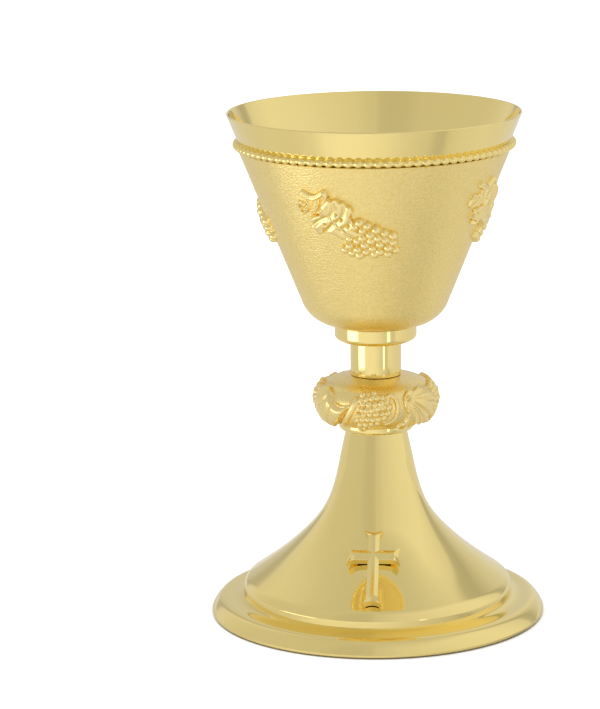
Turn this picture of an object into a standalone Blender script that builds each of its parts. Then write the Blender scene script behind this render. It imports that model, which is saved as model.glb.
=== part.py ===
"""Communion chalice: a gilt brass cup with grape appliques, a decorated knop and a spun foot.

It is built the way the real one is assembled. The cup group (liner, shell, bead ring, four grape
castings) carries a threaded boss. Collar, sleeve, knop, foot collar and foot are stacked under it and
clamped by one tie rod, whose nut is reached from below. The cross is held by two studs and nuts.

Metres, +Z up. The origin is the centre of the circle on which the foot stands. -Y is the front.
"""

import math

import bmesh
import bpy
import numpy as np
from mathutils import Matrix, Vector

MM = 0.001

# Overall form
HEIGHT = 210.0 * MM
RIM_RADIUS = 60.2 * MM
CONE_SLOPE = 0.402  # gain of radius per unit of height, for liner and shell alike
CONE_ANGLE = math.atan(CONE_SLOPE)
GAP = 0.3 * MM  # between pieces that touch

# Cup
SHELL_TOP = 195.3 * MM
SHELL_BOTTOM = 122.4 * MM
SHELL_BEND = 14.6 * MM  # radius of the round between the shell's side and its bottom
SHELL_STEP = 1.3 * MM  # how far the shell's side lies outside the liner's, measured level
SHELL_WALL = 0.9 * MM
LINER_WALL = 0.8 * MM
BOSS_HOLE = 8.3 * MM
BEAD_COUNT = 90
BEAD_RING_BOTTOM = 195.6 * MM
BEAD_RING_TOP = 198.8 * MM
BEAD_WIRE = 1.2 * MM  # thickness of the wire's back behind the beads
BEAD_PROUD = 2.2 * MM  # how far the beads' crowns stand off the wire's back
BEAD_CROWN = 0.8 * MM  # half height of a bead's crown
BEAD_VALLEY = 0.9 * MM

# Stem
BOSS_RADIUS = 8.0 * MM
BOSS_BOTTOM = 117.5 * MM
COLLAR_TOP = 122.1 * MM
COLLAR_BOTTOM = 114.6 * MM
COLLAR_RADIUS = 16.9 * MM
COLLAR_BAND = 4.5 * MM
SLEEVE_RADIUS = 10.5 * MM
SLEEVE_WALL = 1.0 * MM
SLEEVE_BOTTOM = 101.2 * MM
PLUG_HEIGHT = 4.0 * MM
SPIGOT_HEIGHT = 2.8 * MM

# Knop: the outer line of its ground from the top opening down, as (radius, height)
KNOP_LINE = (
    (9.0 * MM, 100.9 * MM),
    (16.5 * MM, 99.6 * MM),
    (21.3 * MM, 97.3 * MM),
    (23.5 * MM, 93.6 * MM),
    (23.7 * MM, 89.3 * MM),
    (22.3 * MM, 84.7 * MM),
    (18.6 * MM, 81.9 * MM),
    (9.0 * MM, 81.3 * MM),
)
KNOP_WALL = 2.4 * MM

# Foot
FOOT_COLLAR_TOP = 81.0 * MM
FOOT_COLLAR_BOTTOM = 77.9 * MM
FOOT_COLLAR_RADIUS = 15.5 * MM
BELL_KNOTS = (  # (radius, height) of the trumpet-shaped side, bottom to top
    (53.5 * MM, 15.0 * MM),
    (43.75 * MM, 22.0 * MM),
    (33.1 * MM, 31.0 * MM),
    (23.3 * MM, 42.0 * MM),
    (17.9 * MM, 54.0 * MM),
    (15.1 * MM, 66.0 * MM),
    (12.6 * MM, 77.6 * MM),
)
BELL_SHOULDER = 6.0 * MM  # radius of the round between the bell's side and its low wall
BELL_WALL_RADIUS = 56.15 * MM
BELL_BOTTOM = 8.1 * MM
BELL_WALL = 1.0 * MM
BASE_RADIUS = 69.3 * MM
BASE_EDGE_RADIUS = 66.2 * MM
BASE_SEAT = 7.8 * MM
BASE_WALL = 1.5 * MM

# Tie rod and what it clamps
ROD_RADIUS = 3.0 * MM
ROD_CLEARANCE = 3.4 * MM
ROD_TOP = 120.5 * MM
ROD_BOTTOM = 62.5 * MM
DISC_HEIGHT = 3.0 * MM
WASHER_RADIUS = 7.0 * MM
WASHER_HEIGHT = 1.4 * MM
NUT_ACROSS_FLATS = 10.0 * MM
NUT_HEIGHT = 5.0 * MM

# Cross, laid out flat: x across, y up its length from the foot, z outwards
CROSS_HEIGHT = 35.7 * MM
CROSS_SPAN = 21.8 * MM
CROSS_ARMS_FROM_TOP = 11.75 * MM
CROSS_BAR = 4.7 * MM
CROSS_FLARE = 7.4 * MM
CROSS_FLARE_LENGTH = 3.6 * MM
CROSS_NOTCH = 0.9 * MM
CROSS_THICKNESS = 4.2 * MM
CROSS_BEVEL = 1.6 * MM  # breadth of the bevel on the cross's face
CROSS_BEVEL_DEPTH = 1.1 * MM
CROSS_FOOT_Z = 15.8 * MM  # height on the bell at which the cross's foot starts
STUD_RADIUS = 1.0 * MM
STUD_LENGTH = 5.5 * MM
STUD_ROOT = 1.2 * MM  # how far a stud is sunk into the cross
STUDS_FROM_END = 6.0 * MM
CROSS_NUT_DEPTH = 2.8 * MM  # middle of a stud's nut, inside the bell's outer face

# Grape castings, in millimetres on their own flat layout: u to the right, v up
APPLIQUE_AZIMUTHS = {"front": -12.0, "right": 78.0, "back": 168.0, "left": -102.0}
APPLIQUE_HEIGHT = 171.7 * MM
GRAPE_FALL = math.radians(-26)
GRAPE_PITCH = 3.3
GRAPE_RADIUS = 1.85
BUNCH_LINE = (  # through the outermost grapes' centres
    (4.0, 2.4),
    (8.2, 1.8),
    (12.7, -1.0),
    (16.2, -2.8),
    (18.8, -5.2),
    (20.0, -8.2),
    (19.4, -11.6),
    (16.5, -12.8),
    (13.5, -13.8),
    (9.0, -12.4),
    (5.8, -13.0),
    (2.5, -13.4),
    (-1.4, -11.4),
    (-0.4, -7.2),
    (3.4, -6.0),
    (4.0, -2.0),
)
LEAF_LINE = (
    (-5.9, 11.9),
    (-4.5, 11.0),
    (-2.6, 12.1),
    (-1.2, 10.6),
    (0.2, 10.8),
    (1.4, 9.2),
    (3.2, 8.5),
    (4.1, 6.2),
    (2.7, 3.8),
    (3.7, 0.8),
    (3.2, -1.8),
    (7.8, -4.3),
    (2.6, -5.9),
    (-1.8, -6.8),
    (-4.2, -5.0),
    (-6.4, -4.2),
    (-8.1, -2.7),
    (-9.6, -4.6),
    (-12.0, -5.0),
    (-12.2, -3.2),
    (-14.4, -1.8),
    (-13.7, 0.4),
    (-14.6, 2.2),
    (-12.4, 3.6),
    (-10.2, 4.2),
    (-10.0, 6.6),
    (-8.8, 8.2),
    (-7.2, 10.4),
)
VINE_STEMS = (  # line, radius, height of its middle
    (((-17.4, 13.2), (-15.2, 11.9), (-12.4, 11.2), (-9.5, 12.4), (-7.0, 14.6)), 0.95, 0.7),
    (((-16.8, 14.2), (-14.6, 12.9), (-12.0, 12.3), (-9.6, 13.4), (-7.4, 14.8)), 0.6, 0.9),
    (((-7.2, 14.2), (-6.6, 12.6), (-7.6, 10.2), (-8.8, 7.2)), 0.8, 1.1),
    (
        ((-14.4, 11.4), (-14.3, 8.1), (-15.7, 5.7), (-18.4, 3.9), (-20.0, 6.6), (-18.8, 9.0), (-16.8, 7.8)),
        0.7,
        0.5,
    ),
    (((-19.6, 5.4), (-18.0, 6.4), (-16.4, 8.4), (-14.6, 9.6)), 0.6, 0.5),
    (((-10.2, 11.6), (-10.5, 8.8), (-12.2, 5.0), (-13.6, 3.8)), 0.6, 0.6),
)

# Knop reliefs, in millimetres: u along the belt, v up; a half turn, repeated once
KNOP_BELT_RADIUS = 24.0
KNOP_HALF_BELT = math.pi * KNOP_BELT_RADIUS
KNOP_GRAPE_PITCH = 2.3
KNOP_GRAPE_RADIUS = 1.3
KNOP_BUNCH_LINE = (
    (-5.4, 6.4),
    (0.0, 6.8),
    (6.6, 6.0),
    (6.4, 2.2),
    (4.6, -1.6),
    (1.0, -4.6),
    (-3.6, -8.4),
    (-6.8, -9.4),
    (-7.2, -6.0),
    (-6.0, -2.0),
    (-5.2, 2.0),
)
FOLDED_LEAF_LINE = (
    (-9.4, 2.4),
    (-14.0, 2.0),
    (-18.0, 3.2),
    (-20.0, 6.4),
    (-23.0, 8.6),
    (-27.0, 8.0),
    (-30.4, 5.6),
    (-31.6, 1.0),
    (-30.2, -4.2),
    (-27.4, -7.4),
    (-24.6, -7.2),
    (-22.0, -9.4),
    (-18.6, -7.6),
    (-15.2, -4.4),
    (-12.4, -0.6),
)
BRANCH_LINE = ((-7.6, 4.4), (-10.2, -0.6), (-13.6, -5.4), (-16.8, -8.6))
FAN_LEAF_LINE = (
    (12.6, 5.4),
    (15.6, 8.2),
    (19.0, 7.6),
    (22.6, 9.0),
    (26.0, 7.6),
    (29.4, 7.8),
    (30.6, 4.2),
    (32.6, 1.0),
    (31.0, -2.2),
    (31.2, -6.0),
    (27.0, -6.6),
    (24.0, -9.0),
    (20.6, -6.8),
    (16.4, -8.8),
    (11.8, -9.4),
    (10.2, -7.2),
    (13.4, -4.6),
    (14.6, -1.8),
    (12.6, 1.6),
)
KNOP_STEM_LINE = ((6.6, 6.6), (8.6, 6.0), (9.8, 3.4), (9.8, -0.6), (8.0, -3.8), (5.2, -5.2))

SEGMENTS = 40
SMALL_SEGMENTS = 16

COLOURS = {  # base colour, roughness
    "polished_gold": ((0.93, 0.74, 0.36), 0.12),
    "satin_gold": ((0.90, 0.72, 0.36), 0.42),
    "relief_gold": ((0.93, 0.73, 0.33), 0.26),
    "turned_brass": ((0.80, 0.62, 0.30), 0.35),
    "steel": ((0.62, 0.62, 0.63), 0.38),
}


def clear_scene():
    for item in list(bpy.data.objects):
        bpy.data.objects.remove(item, do_unlink=True)


def new_collection(name, hidden=False):
    collection = bpy.data.collections.new(name)
    collection.hide_render = hidden
    bpy.context.scene.collection.children.link(collection)
    return collection


def metal(name, finish):
    """A metallic Principled material of its own for one sub-part."""
    colour, roughness = COLOURS[finish]
    material = bpy.data.materials.new(name)
    material.use_nodes = True
    shader = material.node_tree.nodes["Principled BSDF"]
    shader.inputs["Base Color"].default_value = (*colour, 1.0)
    shader.inputs["Roughness"].default_value = roughness
    shader.inputs["Metallic"].default_value = 1.0
    return material


def new_piece(name, mesh, collection):
    piece = bpy.data.objects.new(name, mesh)
    collection.objects.link(piece)
    return piece


def bake(piece):
    """Applies an object's modifiers, then shades its round faces smooth."""
    graph = bpy.context.evaluated_depsgraph_get()
    mesh = bpy.data.meshes.new_from_object(piece.evaluated_get(graph))
    piece.modifiers.clear()
    if piece.type == "CURVE":
        return mesh
    piece.data = mesh
    mesh.shade_smooth()
    mesh.set_sharp_from_angle(angle=math.radians(35))
    return mesh


def finish(piece, kind):
    piece.data.materials.clear()
    piece.data.materials.append(metal(piece.name + "_" + kind, kind))
    return piece


def drop(helper):
    bpy.data.objects.remove(helper, do_unlink=True)


# ---- outlines -------------------------------------------------------------------------------------


def arc(centre, radius, start, end, count):
    """Points on an arc; angles in degrees from +r towards +z."""
    angles = np.radians(np.linspace(start, end, count))
    return [(centre[0] + radius * math.cos(a), centre[1] + radius * math.sin(a)) for a in angles]


def spline(places, values, wanted):
    """A natural cubic spline through (places, values), read at the wanted places."""
    places, values, wanted = np.array(places), np.array(values), np.asarray(wanted)
    count, step = len(places), np.diff(places)
    system, right = np.eye(count), np.zeros(count)
    for i in range(1, count - 1):
        system[i, i - 1 : i + 2] = step[i - 1], 2 * (step[i - 1] + step[i]), step[i]
        right[i] = 6 * ((values[i + 1] - values[i]) / step[i] - (values[i] - values[i - 1]) / step[i - 1])
    bend = np.linalg.solve(system, right)
    i = np.clip(np.searchsorted(places, wanted) - 1, 0, count - 2)
    past, left = wanted - places[i], places[i + 1] - wanted
    curved = (bend[i] * left**3 + bend[i + 1] * past**3) / (6 * step[i])
    straight = (values[i] / step[i] - bend[i] * step[i] / 6) * left
    return curved + straight + (values[i + 1] / step[i] - bend[i + 1] * step[i] / 6) * past


def smooth_line(points, count):
    """Evenly spaced points on a smooth curve through the given ones."""
    points = np.array(points)
    length = np.concatenate([[0], np.cumsum(np.hypot(*np.diff(points, axis=0).T))])
    wanted = np.linspace(0, length[-1], count)
    return np.stack([spline(length, points[:, 0], wanted), spline(length, points[:, 1], wanted)], axis=1)


def inset(line, depth):
    """The line moved to its right by a depth: inwards, for an outer side that runs downwards."""
    line = np.array(line)
    along = np.gradient(line, axis=0)
    along /= np.linalg.norm(along, axis=1)[:, None]
    return line + depth * np.stack([along[:, 1], -along[:, 0]], axis=1)


def bowl_side(depth, top, arc_points=7):
    """The cup's outer line, from its top to the axis, at a depth inside the shell's outer face."""
    bend_z = SHELL_BOTTOM + SHELL_BEND
    shell_at_bend = RIM_RADIUS + SHELL_STEP - CONE_SLOPE * (HEIGHT - bend_z)
    bend = (shell_at_bend - SHELL_BEND / math.cos(CONE_ANGLE), bend_z)
    rounds = arc(bend, SHELL_BEND - depth, -math.degrees(CONE_ANGLE), -90, arc_points)
    start = rounds[0]
    return [(start[0] + CONE_SLOPE * (top - start[1]), top), *rounds]


def bell_line(count):
    """The bell's outer line, from its neck down to its bottom edge, closer set towards the bottom."""
    radii, heights = zip(*BELL_KNOTS)
    levels = np.linspace(1, 0, count) ** 1.35
    wanted = heights[0] + (heights[-1] - heights[0]) * levels
    side = list(zip(spline(heights, radii, wanted), wanted))
    start = math.radians(55)
    centre = (radii[0] - BELL_SHOULDER * math.cos(start), heights[0] - BELL_SHOULDER * math.sin(start))
    return side + arc(centre, BELL_SHOULDER, 43, 5, 4) + [(BELL_WALL_RADIUS, BELL_BOTTOM)]


# ---- turned pieces --------------------------------------------------------------------------------


def turned(name, outline, collection, steps=SEGMENTS):
    """Turns an outline of (radius, height) points about Z: down the outer side and up the inner.

    An outline that starts and ends on the axis stays open there; any other is closed.
    """
    count = len(outline)
    on_axis = outline[0][0] == 0 and outline[-1][0] == 0
    edges = [(i, (i + 1) % count) for i in range(count - on_axis)]
    mesh = bpy.data.meshes.new(name)
    mesh.from_pydata([(r, 0.0, z) for r, z in outline], edges, [])
    piece = new_piece(name, mesh, collection)
    screw = piece.modifiers.new("Turn", "SCREW")
    screw.steps = screw.render_steps = steps
    screw.use_merge_vertices = True
    screw.merge_threshold = 0.00001
    bake(piece)
    return piece


def make_cup_liner(parts):
    liner_depth = SHELL_STEP * math.cos(CONE_ANGLE)
    lip = LINER_WALL / 2
    outer = bowl_side(liner_depth, HEIGHT - lip)
    inner = bowl_side(liner_depth + LINER_WALL, HEIGHT - lip)
    middle = ((outer[0][0] + inner[0][0]) / 2, HEIGHT - lip)
    top = [(middle[0] + lip * 0.6, HEIGHT), (middle[0] - lip * 0.6, HEIGHT)]
    floor_outer, floor_inner = outer[-1][1], inner[-1][1]
    outline = [top[0], *outer, (0.0, floor_outer), (0.0, floor_inner), *inner[::-1], top[1]]
    axis_first = outline.index((0.0, floor_inner))
    return finish(turned("cup_liner", outline[axis_first:] + outline[:axis_first], parts), "polished_gold")


def make_cup_shell(parts):
    outer = bowl_side(0, SHELL_TOP)
    inner = bowl_side(SHELL_WALL, SHELL_TOP)
    hole = [(BOSS_HOLE, outer[-1][1]), (BOSS_HOLE, inner[-1][1])]
    return finish(turned("cup_shell", outer + hole + inner[::-1], parts), "satin_gold")


def make_bead_ring(parts):
    """A flat-backed wire of round beads, bent round the liner just above the shell's top edge."""
    middle_z = (BEAD_RING_TOP + BEAD_RING_BOTTOM) / 2
    back_top, back_bottom = (
        RIM_RADIUS - CONE_SLOPE * (HEIGHT - z) + GAP * 1.5 for z in (BEAD_RING_TOP, BEAD_RING_BOTTOM)
    )
    front = (back_top + back_bottom) / 2 + BEAD_PROUD
    outline = [
        (back_top + BEAD_WIRE, BEAD_RING_TOP),
        (front, middle_z + BEAD_CROWN),
        (front, middle_z - BEAD_CROWN),
        (back_bottom + BEAD_WIRE, BEAD_RING_BOTTOM),
        (back_bottom, BEAD_RING_BOTTOM),
        (back_top, BEAD_RING_TOP),
    ]
    wire = turned("bead_ring", outline, parts, 2 * BEAD_COUNT)
    # Every second line of points is the valley between two beads.
    for vertex in wire.data.vertices:
        radius, azimuth = vertex.co.xy.length, math.atan2(vertex.co.y, vertex.co.x)
        in_valley = round(azimuth * BEAD_COUNT / math.pi) % 2
        if in_valley and radius > front - GAP:
            vertex.co.xy *= (radius - BEAD_VALLEY) / radius
    return finish(wire, "polished_gold")


def unite(piece, helper, operation="UNION"):
    """Joins a closed helper to a piece (or cuts it away) and removes the helper."""
    helper.hide_render = True
    helper.display_type = "WIRE"
    join = piece.modifiers.new("Join", "BOOLEAN")
    join.operation = operation
    join.solver = "MANIFOLD"
    join.object = helper
    bake(piece)
    drop(helper)


def keep_outer_skin(piece):
    """Removes the small closed pockets that a union can leave inside, keeping the largest shell."""
    shape = bmesh.new()
    shape.from_mesh(piece.data)
    left, shells = set(shape.verts), []
    while left:
        front = [left.pop()]
        shell = set(front)
        while front:
            near = {edge.other_vert(vertex) for vertex in front for edge in vertex.link_edges}
            front = list(near & left)
            left -= near
            shell.update(front)
        shells.append(shell)
    largest = max(shells, key=len)
    spare = [vertex for vertex in shape.verts if vertex not in largest]
    bmesh.ops.delete(shape, geom=spare, context="VERTS")
    shape.to_mesh(piece.data)
    shape.free()


def make_cup_boss(parts):
    """The plug brazed under the liner; the tie rod is screwed into its blind hole."""
    top = SHELL_BOTTOM + SHELL_STEP * math.cos(CONE_ANGLE) - GAP
    blind = ROD_TOP + GAP
    bore = ROD_RADIUS + GAP
    outline = [(0.0, top), (BOSS_RADIUS, top), (BOSS_RADIUS, BOSS_BOTTOM), (bore, BOSS_BOTTOM)]
    outline += [(bore, blind), (0.0, blind)]
    return finish(turned("cup_boss", outline, parts, SMALL_SEGMENTS), "turned_brass")


def make_cup_collar(parts):
    """The turned cap under the cup: a short band, then a quarter round in to the stem."""
    band_bottom = COLLAR_TOP - COLLAR_BAND
    reach, drop_height = COLLAR_RADIUS - SLEEVE_RADIUS, band_bottom - COLLAR_BOTTOM
    bevel = 0.4 * MM
    under = [
        (SLEEVE_RADIUS + reach * math.cos(a), band_bottom - drop_height * math.sin(a))
        for a in np.linspace(0, math.pi / 2, 6)
    ]
    outline = [(COLLAR_RADIUS - bevel, COLLAR_TOP), (COLLAR_RADIUS, COLLAR_TOP - bevel), *under]
    outline += [(BOSS_HOLE, COLLAR_BOTTOM), (BOSS_HOLE, COLLAR_TOP)]
    return finish(turned("cup_collar", outline, parts), "polished_gold")


def make_stem_sleeve(parts):
    top, inner = COLLAR_BOTTOM - GAP, SLEEVE_RADIUS - SLEEVE_WALL
    outline = [(SLEEVE_RADIUS, top), (SLEEVE_RADIUS, SLEEVE_BOTTOM), (inner, SLEEVE_BOTTOM), (inner, top)]
    return finish(turned("stem_sleeve", outline, parts), "polished_gold")


def make_plug(parts, name, joint, way):
    """A bush that centres the sleeve's end; its spigot (way +1 is up) enters the piece beyond."""
    body = SLEEVE_RADIUS - SLEEVE_WALL - GAP
    spigot_end = joint + way * SPIGOT_HEIGHT
    body_end = joint - way * PLUG_HEIGHT
    step = joint - way * GAP
    outline = [(BOSS_RADIUS, spigot_end), (BOSS_RADIUS, step), (body, step), (body, body_end)]
    outline += [(ROD_CLEARANCE, body_end), (ROD_CLEARANCE, spigot_end)]
    if way < 0:
        outline.reverse()
    return finish(turned(name, outline, parts, SMALL_SEGMENTS), "turned_brass")


def make_foot_collar(parts):
    """The plain flange between knop and foot, its lower edge rounded."""
    bevel, rounding = 0.4 * MM, 1.4 * MM
    edge = arc((FOOT_COLLAR_RADIUS - rounding, FOOT_COLLAR_BOTTOM + rounding), rounding, 0, -90, 5)
    outline = [(FOOT_COLLAR_RADIUS - bevel, FOOT_COLLAR_TOP)]
    outline += [(FOOT_COLLAR_RADIUS, FOOT_COLLAR_TOP - bevel), *edge]
    outline += [(ROD_CLEARANCE, FOOT_COLLAR_BOTTOM), (ROD_CLEARANCE, FOOT_COLLAR_TOP)]
    return finish(turned("foot_collar", outline, parts), "polished_gold")


def make_foot_bell(parts, cutters):
    """The spun trumpet foot. Its neck is closed by a flat with a hole for the tie rod."""
    outer = bell_line(15)
    inner = inset(bell_line(11), BELL_WALL)
    inner[-1] = (BELL_WALL_RADIUS - BELL_WALL, BELL_BOTTOM)
    neck, roof = outer[0][1], outer[0][1] - BELL_WALL
    inner[0] = (inner[0][0], roof)
    inner_side = [tuple(point) for point in inner[::-1]]
    outline = [*outer, *inner_side, (ROD_CLEARANCE, roof), (ROD_CLEARANCE, neck)]
    bell = turned("foot_bell", outline, parts)
    for index, along in enumerate(stud_places()):
        hole = cylinder(f"stud_hole_{index}", STUD_RADIUS + GAP, 8 * MM, cutters, 12)
        hole.matrix_world = cross_frame(along)
        bpy.context.view_layer.update()
        unite(bell, hole, "DIFFERENCE")
    return finish(bell, "polished_gold")


def make_base_ring(parts):
    """The stepped ring under the bell: a dished top, a leaning outer band and a flat to stand on."""
    seat_in = 52.0 * MM
    top = [
        (56.3 * MM, BASE_SEAT),
        (58.0 * MM, 7.15 * MM),
        (60.0 * MM, 6.85 * MM),
        (62.4 * MM, 6.85 * MM),
        (64.0 * MM, 6.75 * MM),
        (65.3 * MM, 6.35 * MM),
        (BASE_EDGE_RADIUS, 5.75 * MM),
        (67.3 * MM, 4.6 * MM),
        (68.4 * MM, 3.1 * MM),
        (BASE_RADIUS, 1.3 * MM),
        (BASE_RADIUS - 0.1 * MM, 0.5 * MM),
        (BASE_RADIUS - 0.6 * MM, 0.0),
    ]
    foot = [(62.0 * MM, 0.0), (62.0 * MM, BASE_WALL), (BASE_RADIUS - 2.2 * MM, BASE_WALL)]
    under = [(BASE_EDGE_RADIUS - 1.6 * MM, 4.6 * MM), (60.5 * MM, 5.0 * MM), (seat_in, 5.8 * MM)]
    outline = [(seat_in, BASE_SEAT), *top, *foot, *under]
    return finish(turned("base_ring", outline, parts), "polished_gold")


# ---- tie rod group --------------------------------------------------------------------------------


def cylinder(name, radius, height, collection, segments=SMALL_SEGMENTS):
    """A cylinder centred on its own origin."""
    shape = bmesh.new()
    bmesh.ops.create_cone(
        shape, cap_ends=True, segments=segments, radius1=radius, radius2=radius, depth=height
    )
    mesh = bpy.data.meshes.new(name)
    shape.to_mesh(mesh)
    shape.free()
    return new_piece(name, mesh, collection)


def ring(name, outer, bore, bottom, height, collection, segments=SMALL_SEGMENTS):
    """A flat ring: round with many segments, a hexagon with six."""
    top = bottom + height
    outline = [(outer, top), (outer, bottom), (bore, bottom), (bore, top)]
    return turned(name, outline, collection, segments)


def hexagon_nut(name, flats, bore, height, parts, cutters):
    """A hexagon nut centred on its own origin, its corners on the local x axis."""
    nut = cylinder(name, flats / math.sqrt(3), height, parts, 6)
    unite(nut, cylinder(name + "_bore", bore, height * 2, cutters, SMALL_SEGMENTS), "DIFFERENCE")
    return finish(nut, "steel")


def make_clamp(parts, cutters):
    """Tie rod, disc in the bell's neck, washer and nut, from the top down."""
    rod = cylinder("tie_rod", ROD_RADIUS, ROD_TOP - ROD_BOTTOM, parts)
    rod.location.z = (ROD_TOP + ROD_BOTTOM) / 2
    bake(rod)
    finish(rod, "steel")
    disc_top = BELL_KNOTS[-1][1] - BELL_WALL - GAP
    disc_bottom = disc_top - DISC_HEIGHT
    disc_radius = BELL_KNOTS[-1][0] - BELL_WALL - GAP * 1.5
    disc = ring("foot_seat_disc", disc_radius, ROD_CLEARANCE, disc_bottom, DISC_HEIGHT, parts)
    finish(disc, "turned_brass")
    washer_bottom = disc_bottom - GAP - WASHER_HEIGHT
    washer = ring("clamp_washer", WASHER_RADIUS, ROD_CLEARANCE, washer_bottom, WASHER_HEIGHT, parts)
    finish(washer, "steel")
    nut = hexagon_nut("clamp_nut", NUT_ACROSS_FLATS, ROD_RADIUS + GAP, NUT_HEIGHT, parts, cutters)
    nut.location.z = washer_bottom - GAP - NUT_HEIGHT / 2


# ---- cross ----------------------------------------------------------------------------------------


def cross_frame(along, lift=0.0):
    """A frame on the bell's front: x across, y up the bell's line, z outwards.

    Its origin lies a length along the bell's line above the cross's foot, lifted off the surface.
    """
    line = np.array(bell_line(120))
    length = np.concatenate([[0], np.cumsum(np.hypot(*np.diff(line, axis=0).T))])
    foot = np.interp(-CROSS_FOOT_Z, -line[:, 1], length)
    place = [np.interp(foot - along, length, column) for column in line.T]
    slope = [np.interp(foot - along, length, column) for column in np.gradient(line, length, axis=0).T]
    across, up = Vector((1, 0, 0)), Vector((0, slope[0], -slope[1])).normalized()
    out = across.cross(up)
    turn = Matrix((across, up, out)).transposed().to_4x4()
    return Matrix.Translation(Vector((0, -place[0], place[1])) + out * lift) @ turn


def stud_places():
    return (STUDS_FROM_END, CROSS_HEIGHT - STUDS_FROM_END)


def cross_arm(length, inset):
    """One arm's right side, centre to tip, then its notched end's middle, along +y."""
    bar, flare = CROSS_BAR / 2 - inset, CROSS_FLARE / 2 - inset
    tip, start = length - inset, length - CROSS_FLARE_LENGTH
    straight = [(bar, bar + (start - bar) * t) for t in (0.33, 0.67)]
    side = [(bar + (flare - bar) * t**2.2, start + (tip - start) * t) for t in np.linspace(0, 1, 5)]
    return [*straight, *side, (flare * 0.5, tip - CROSS_NOTCH * 0.75), (0.0, tip - CROSS_NOTCH)]


def cross_outline(inset=0.0):
    """The whole outline, counter-clockwise, arms' centre at the origin, drawn in by an inset."""
    lengths = (
        CROSS_ARMS_FROM_TOP,
        CROSS_SPAN / 2,
        CROSS_HEIGHT - CROSS_ARMS_FROM_TOP,
        CROSS_SPAN / 2,
    )
    corner = (inset - CROSS_BAR / 2, CROSS_BAR / 2 - inset)
    outline = []
    for quarter, length in enumerate(lengths):
        turn = Matrix.Rotation(math.tau * quarter / 4, 2)
        right = cross_arm(length, inset)
        left = [(-x, y) for x, y in right[-2::-1]]
        outline += [turn @ Vector(point) for point in [*right, *left, corner]]
    return outline


def loft(name, sections, collection):
    """A closed body through sections with equally many points, each a list of 3D points."""
    shape = bmesh.new()
    rings = [[shape.verts.new(point) for point in section] for section in sections]
    for lower, upper in zip(rings, rings[1:]):
        for i in range(len(lower)):
            shape.faces.new((lower[i - 1], lower[i], upper[i], upper[i - 1]))
    shape.faces.new(rings[0][::-1])
    shape.faces.new(rings[-1])
    mesh = bpy.data.meshes.new(name)
    shape.to_mesh(mesh)
    shape.free()
    return new_piece(name, mesh, collection)


def make_foot_cross(parts, cutters):
    """A cast cross with bevelled edges and two studs on its back."""
    centre_y = CROSS_HEIGHT - CROSS_ARMS_FROM_TOP
    low = CROSS_THICKNESS - CROSS_BEVEL_DEPTH
    levels = ((0.0, 0.0), (low, 0.0), (CROSS_THICKNESS, CROSS_BEVEL))
    sections = [
        [(point.x, point.y + centre_y, z) for point in cross_outline(inset)] for z, inset in levels
    ]
    cross = loft("foot_cross", sections, parts)
    for vertex in cross.data.vertices:
        x, y, z = vertex.co
        vertex.co = cross_frame(y, GAP * 1.5) @ Vector((x, 0, z))
    for index, along in enumerate(stud_places()):
        stud = cylinder(f"stud_{index}", STUD_RADIUS, STUD_LENGTH, cutters, 12)
        stud.matrix_world = cross_frame(along, STUD_ROOT - STUD_LENGTH / 2)
        bpy.context.view_layer.update()
        unite(cross, stud)
    return finish(cross, "polished_gold")


def make_cross_nuts(parts, cutters):
    """The two small nuts inside the bell, on the ends of the cross's studs."""
    for name, along in zip(("cross_nut_lower", "cross_nut_upper"), stud_places()):
        nut = hexagon_nut(name, 4.0 * MM, STUD_RADIUS + GAP, 1.6 * MM, parts, cutters)
        nut.matrix_world = cross_frame(along, -CROSS_NUT_DEPTH)


# ---- reliefs --------------------------------------------------------------------------------------


def plate(name, outline, thickness, collection):
    """A flat plate on the layout's plane, from an outline in millimetres."""
    curve = bpy.data.curves.new(name, "CURVE")
    curve.dimensions = "2D"
    curve.fill_mode = "BOTH"
    curve.extrude = thickness * MM / 2
    run = curve.splines.new("POLY")
    run.points.add(len(outline) - 1)
    for point, (u, v) in zip(run.points, outline):
        point.co = (u * MM, v * MM, 0, 1)
    run.use_cyclic_u = True
    piece = new_piece(name, curve, collection)
    piece.location.z = thickness * MM / 2
    return piece


def vine(name, line, radius, lift, collection):
    """A round stem along a smooth line in millimetres, its middle lifted off the layout's plane."""
    curve = bpy.data.curves.new(name, "CURVE")
    curve.dimensions = "3D"
    curve.bevel_depth = radius * MM
    curve.bevel_resolution = 2
    curve.use_fill_caps = True
    route = smooth_line(line, 4 * len(line))
    run = curve.splines.new("POLY")
    run.points.add(len(route) - 1)
    for point, (u, v) in zip(run.points, route):
        point.co = (u * MM, v * MM, lift * MM, 1)
    return new_piece(name, curve, collection)


def depth_inside(u, v, outline):
    """Distance from a point to a closed outline, positive inside it."""
    nearest, inside = math.inf, False
    for a, b in zip(outline, outline[1:] + outline[:1]):
        edge_u, edge_v = b[0] - a[0], b[1] - a[1]
        along = ((u - a[0]) * edge_u + (v - a[1]) * edge_v) / (edge_u**2 + edge_v**2)
        along = min(max(along, 0.0), 1.0)
        nearest = min(nearest, math.hypot(u - a[0] - along * edge_u, v - a[1] - along * edge_v))
        if (a[1] > v) != (b[1] > v) and u < a[0] + (v - a[1]) * edge_u / edge_v:
            inside = not inside
    return nearest if inside else -nearest


def packed(outline, pitch, fall):
    """Centres of balls packed like oranges inside an outline, their rows at an angle."""
    middle = np.mean(outline, axis=0)
    along, up = np.array([math.cos(fall), math.sin(fall)]), np.array([-math.sin(fall), math.cos(fall)])
    centres = []
    for row in range(-8, 9):
        for step in range(-12, 13):
            place = middle + along * pitch * (step + 0.5 * (row % 2)) + up * pitch * 0.86 * row
            place += 0.1 * pitch * np.array([math.sin(7 * step + 3 * row), math.cos(5 * step - 4 * row)])
            if depth_inside(*place, outline) > -0.25 * pitch:
                centres.append(place)
    return centres


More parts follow.
